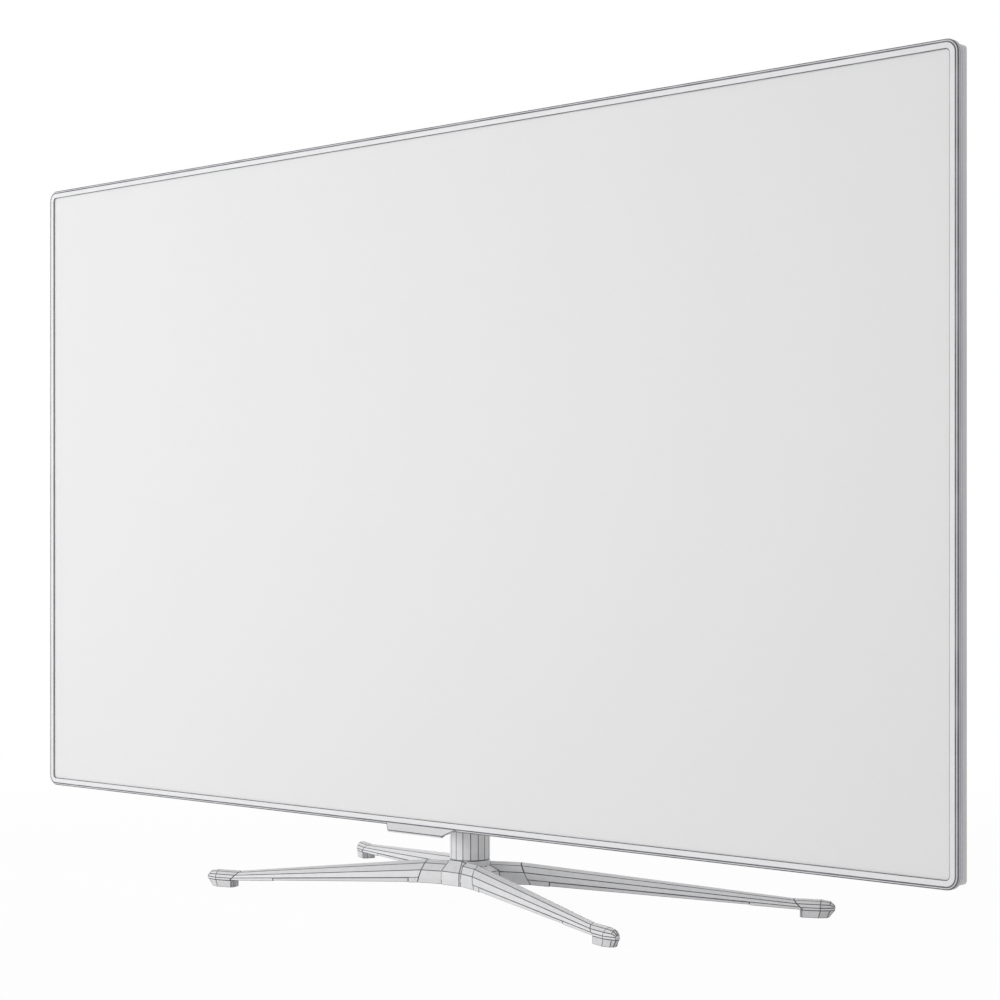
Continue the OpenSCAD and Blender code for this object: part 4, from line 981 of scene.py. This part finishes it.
@dataclass
class Back:
    """Rear cover with the bracket, the plug wells and the screws. Sizes are in millimetres.

    Attributes:
        line_w: width of broken edges.
        socket_w: width of the broken edges of sockets.
        shortest: length under which an edge stays as it is, such as those round a hole.
    """

    bench: Bench
    line_w: float = 0.5
    socket_w: float = 0.2
    shortest: float = 8.0

    def build(self) -> None:
        """Makes the pieces that show from behind."""
        for node, name, slot, finish in (
            ("neck_bracket", "bracket_casting", "stand_paint", Finishes.stand_coat),
            ("neck_cap", "neck_lid", "stand_plastic", Finishes.stand_moulding),
            ("jack_panel", "jack_plate", "inner_plastic", Finishes.dark_moulding),
            ("power_inlet", "inlet_socket", "inner_plastic", Finishes.dark_moulding),
        ):
            piece = self.bench.copy(node, name)
            socket = slot == "inner_plastic"
            paint(piece, finish, finish if socket else Finishes.back_edge)
            break_edges(piece, self.socket_w if socket else self.line_w, SHARP, self.shortest)
            shade(piece, ROUND_DEG)
            self.bench.hand_over(piece, slot, node)
        self.bench.dress(Finishes.shell, "rear_cover")
        self.bench.dress(Finishes.zinc, "vesa_inserts", "hdmi_sockets", "usb_sockets")
        self.bench.dress(Finishes.zinc, "network_socket", "aerial_socket")
        self.bench.dress(Finishes.steel, "neck_screws", "cover_screws")


@dataclass
class Control:
    """Small joystick on the back. Sizes are in millimetres.

    Attributes:
        dish_w: flat rim round the cap's dish.
        dish_d: depth of the dish.
        edge_w: width of broken edges.
        top_t: depth within which a face counts as the cap's top.
    """

    bench: Bench
    dish_w: float = 1.2
    dish_d: float = 0.5
    edge_w: float = 0.25
    top_t: float = 0.1

    def build(self) -> None:
        """Makes the cap with a dished top for the thumb."""
        low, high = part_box("jog_cap")
        # The dish slopes over a third of the cap's radius
        slope = (high.x - low.x) / 2 / 3
        top = high.y - self.top_t * MM
        piece = self.bench.copy("jog_cap", "thumb_cap")
        edit(piece)
        pick(piece, Part.FACE, lambda face: face.normal.y > FACING and face.calc_center_median().y > top)
        bpy.ops.mesh.inset(thickness=self.dish_w * MM)
        bpy.ops.mesh.inset(thickness=slope, depth=-self.dish_d * MM)
        done()
        paint(piece, Finishes.stand_moulding, Finishes.back_edge)
        break_edges(piece, self.edge_w, SHARP)
        shade(piece, ROUND_DEG)
        self.bench.hand_over(piece, "cap_plastic", "jog_cap")
        self.bench.dress(Finishes.dark_moulding, "jog_housing", "jog_ring", "jog_stick")


@dataclass
class Inside:
    """What the covers hide: the panel's layers and the electronics."""

    bench: Bench

    def build(self) -> None:
        """Gives every hidden solid its finish."""
        self.bench.dress(Finishes.foam, "panel_gasket")
        self.bench.dress(Finishes.sheet, "optical_films", "reflector_sheet", "led_bar_left", "led_bar_right")
        self.bench.dress(Finishes.acrylic, "light_guide")
        self.bench.dress(Finishes.dark_moulding, "mid_frame", "speaker_left", "speaker_right")
        self.bench.dress(Finishes.zinc, "back_chassis", "stand_bracket")
        self.bench.dress(
            Finishes.lacquer, "driver_boards", "timing_board", "main_board", "wireless_module", "sensor_board"
        )
        self.bench.dress(Finishes.paper_board, "power_board")
        self.bench.dress(Finishes.fins, "heatsink")
        self.bench.dress(Finishes.lead, "signal_ribbon", "wiring_harness")
        self.bench.dress(Finishes.steel, "board_screws")


@dataclass
class Lamp:
    """One soft lamp of the studio.

    Attributes:
        name: name of the lamp.
        place: where it stands, in metres.
        aim: point that it faces.
        width: width of its face.
        height: height of its face.
        power: light given, in watts.
    """

    name: str
    place: tuple[float, float, float]
    aim: tuple[float, float, float]
    width: float
    height: float
    power: float

    def build(self) -> None:
        """Hangs the lamp and turns it to its aim."""
        data = bpy.data.lights.new(self.name, "AREA")
        data.shape = "RECTANGLE"
        data.size = self.width
        data.size_y = self.height
        data.energy = self.power
        lamp = bpy.data.objects.new(self.name, data)
        bpy.context.scene.collection.objects.link(lamp)
        lamp.location = self.place
        toward = Vector(self.aim) - Vector(self.place)
        lamp.rotation_euler = toward.to_track_quat("-Z", "Y").to_euler()


@dataclass
class Studio:
    """Floor, lamps, surroundings and camera.

    Attributes:
        floor_half: half the floor's side, in metres.
        fade_from: distance from the middle at which the floor starts to turn white, in metres.
        fade_to: distance at which it is white.
        near_white: share of white near the object.
        ambient: light from all round.
        eye: place of the camera, in metres.
        turn_deg: camera's turn from facing the picture.
        lens_mm: focal length.
        sensor_mm: width of the sensor.
        rise: share of the frame by which the view is raised.
    """

    floor_half: float = 40.0
    fade_from: float = 0.5
    fade_to: float = 1.8
    near_white: float = 0.96
    ambient: float = 0.52
    eye: tuple[float, float, float] = (1.5919, -1.7208, 0.3662)
    turn_deg: float = 42.5
    lens_mm: float = 82.0
    sensor_mm: float = 36.0
    rise: float = 0.0422

    def build(self) -> None:
        """Sets up the whole studio."""
        bpy.context.scene.view_settings.view_transform = "Standard"
        self.floor()
        self.surroundings()
        front = (-1.8, -3.6, 0.6)
        key = Lamp("key", place=front, aim=(0.0, 0.0, 0.35), width=2.4, height=1.2, power=78.0)
        behind = (-1.6, 3.4, 1.3)
        fill = Lamp("rear fill", place=behind, aim=(0.0, 0.0, 0.4), width=2.4, height=1.6, power=40.0)
        for lamp in (key, fill):
            lamp.build()
        self.camera()

    def floor(self) -> None:
        """Pale floor that shows white to the camera and keeps the object's shadow near it."""
        bpy.ops.object.select_all(action="DESELECT")
        bpy.ops.mesh.primitive_plane_add(size=2 * self.floor_half)
        floor = bpy.context.object
        floor.name = "studio_floor"
        made = bpy.data.materials.new("white_studio_vinyl")
        made.use_nodes = True
        tree = made.node_tree
        tree.nodes.remove(tree.nodes["Principled BSDF"])
        place = add_node(tree, "ShaderNodeTexCoord", {}, {}).outputs["Object"]
        reach = add_node(tree, "ShaderNodeVectorMath", {"operation": "LENGTH"}, {0: place})
        fade_in = {
            "Value": reach.outputs["Value"],
            "From Min": self.fade_from,
            "From Max": self.fade_to,
            "To Min": self.near_white,
        }
        fade = add_node(tree, "ShaderNodeMapRange", {"interpolation_type": "SMOOTHSTEP"}, fade_in)
        share_in = {0: self.seen(tree), 1: fade.outputs["Result"]}
        share = add_node(tree, "ShaderNodeMath", {"operation": "MULTIPLY"}, share_in)
        vinyl = add_node(tree, "ShaderNodeBsdfDiffuse", {}, {"Color": linear("#F4F4F4")})
        white = add_node(tree, "ShaderNodeEmission", {}, {"Strength": 1.0})
        mixed_in = {0: share.outputs[0], 1: vinyl.outputs[0], 2: white.outputs[0]}
        mixed = add_node(tree, "ShaderNodeMixShader", {}, mixed_in)
        tree.links.new(mixed.outputs[0], tree.nodes["Material Output"].inputs["Surface"])
        floor.data.materials.append(made)

    def seen(self, tree: bpy.types.NodeTree) -> bpy.types.NodeSocket:
        """Adds a test for light that the camera sees, straight or in metal and glass.

        Args:
            tree: node tree that gets the test.

        Returns:
            Output that is 1 for such light.
        """
        path = add_node(tree, "ShaderNodeLightPath", {}, {})
        shiny_in = {0: path.outputs["Is Glossy Ray"], 1: path.outputs["Is Transmission Ray"]}
        shiny = add_node(tree, "ShaderNodeMath", {"operation": "MAXIMUM"}, shiny_in)
        either_in = {0: path.outputs["Is Camera Ray"], 1: shiny.outputs[0]}
        return add_node(tree, "ShaderNodeMath", {"operation": "MAXIMUM"}, either_in).outputs[0]

    def surroundings(self) -> None:
        """White surroundings that give an even, weaker light."""
        world = bpy.data.worlds.new("pale_surroundings")
        bpy.context.scene.world = world
        world.use_nodes = True
        tree = world.node_tree
        light = tree.nodes["Background"]
        light.inputs["Color"].default_value = (1.0, 1.0, 1.0, 1.0)
        light.inputs["Strength"].default_value = self.ambient
        white_in = {"Color": (1.0, 1.0, 1.0, 1.0), "Strength": 1.0}
        white = add_node(tree, "ShaderNodeBackground", {}, white_in)
        mixed_in = {0: self.seen(tree), 1: light.outputs[0], 2: white.outputs[0]}
        mixed = add_node(tree, "ShaderNodeMixShader", {}, mixed_in)
        tree.links.new(mixed.outputs[0], tree.nodes["World Output"].inputs["Surface"])

    def camera(self) -> None:
        """Level camera at the photograph's viewing angle."""
        data = bpy.data.cameras.new("camera")
        data.lens = self.lens_mm
        data.sensor_width = self.sensor_mm
        data.shift_y = self.rise
        camera = bpy.data.objects.new("camera", data)
        bpy.context.scene.collection.objects.link(camera)
        camera.location = self.eye
        camera.rotation_euler = (math.radians(90), 0.0, math.radians(self.turn_deg))
        bpy.context.scene.camera = camera


def main() -> None:
    """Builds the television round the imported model."""
    logging.basicConfig(level=logging.INFO, format="%(message)s")
    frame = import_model()
    bodies = frame["record"]["behaviour"]["bodies"]
    bench = Bench(frame["nodes"], {node: body for body, nodes in bodies.items() for node in nodes})
    Studio().build()
    PictureFrame(bench).build()
    Stand(bench).build()
    Back(bench).build()
    Control(bench).build()
    Inside(bench).build()


if __name__ == "__main__":
    main()
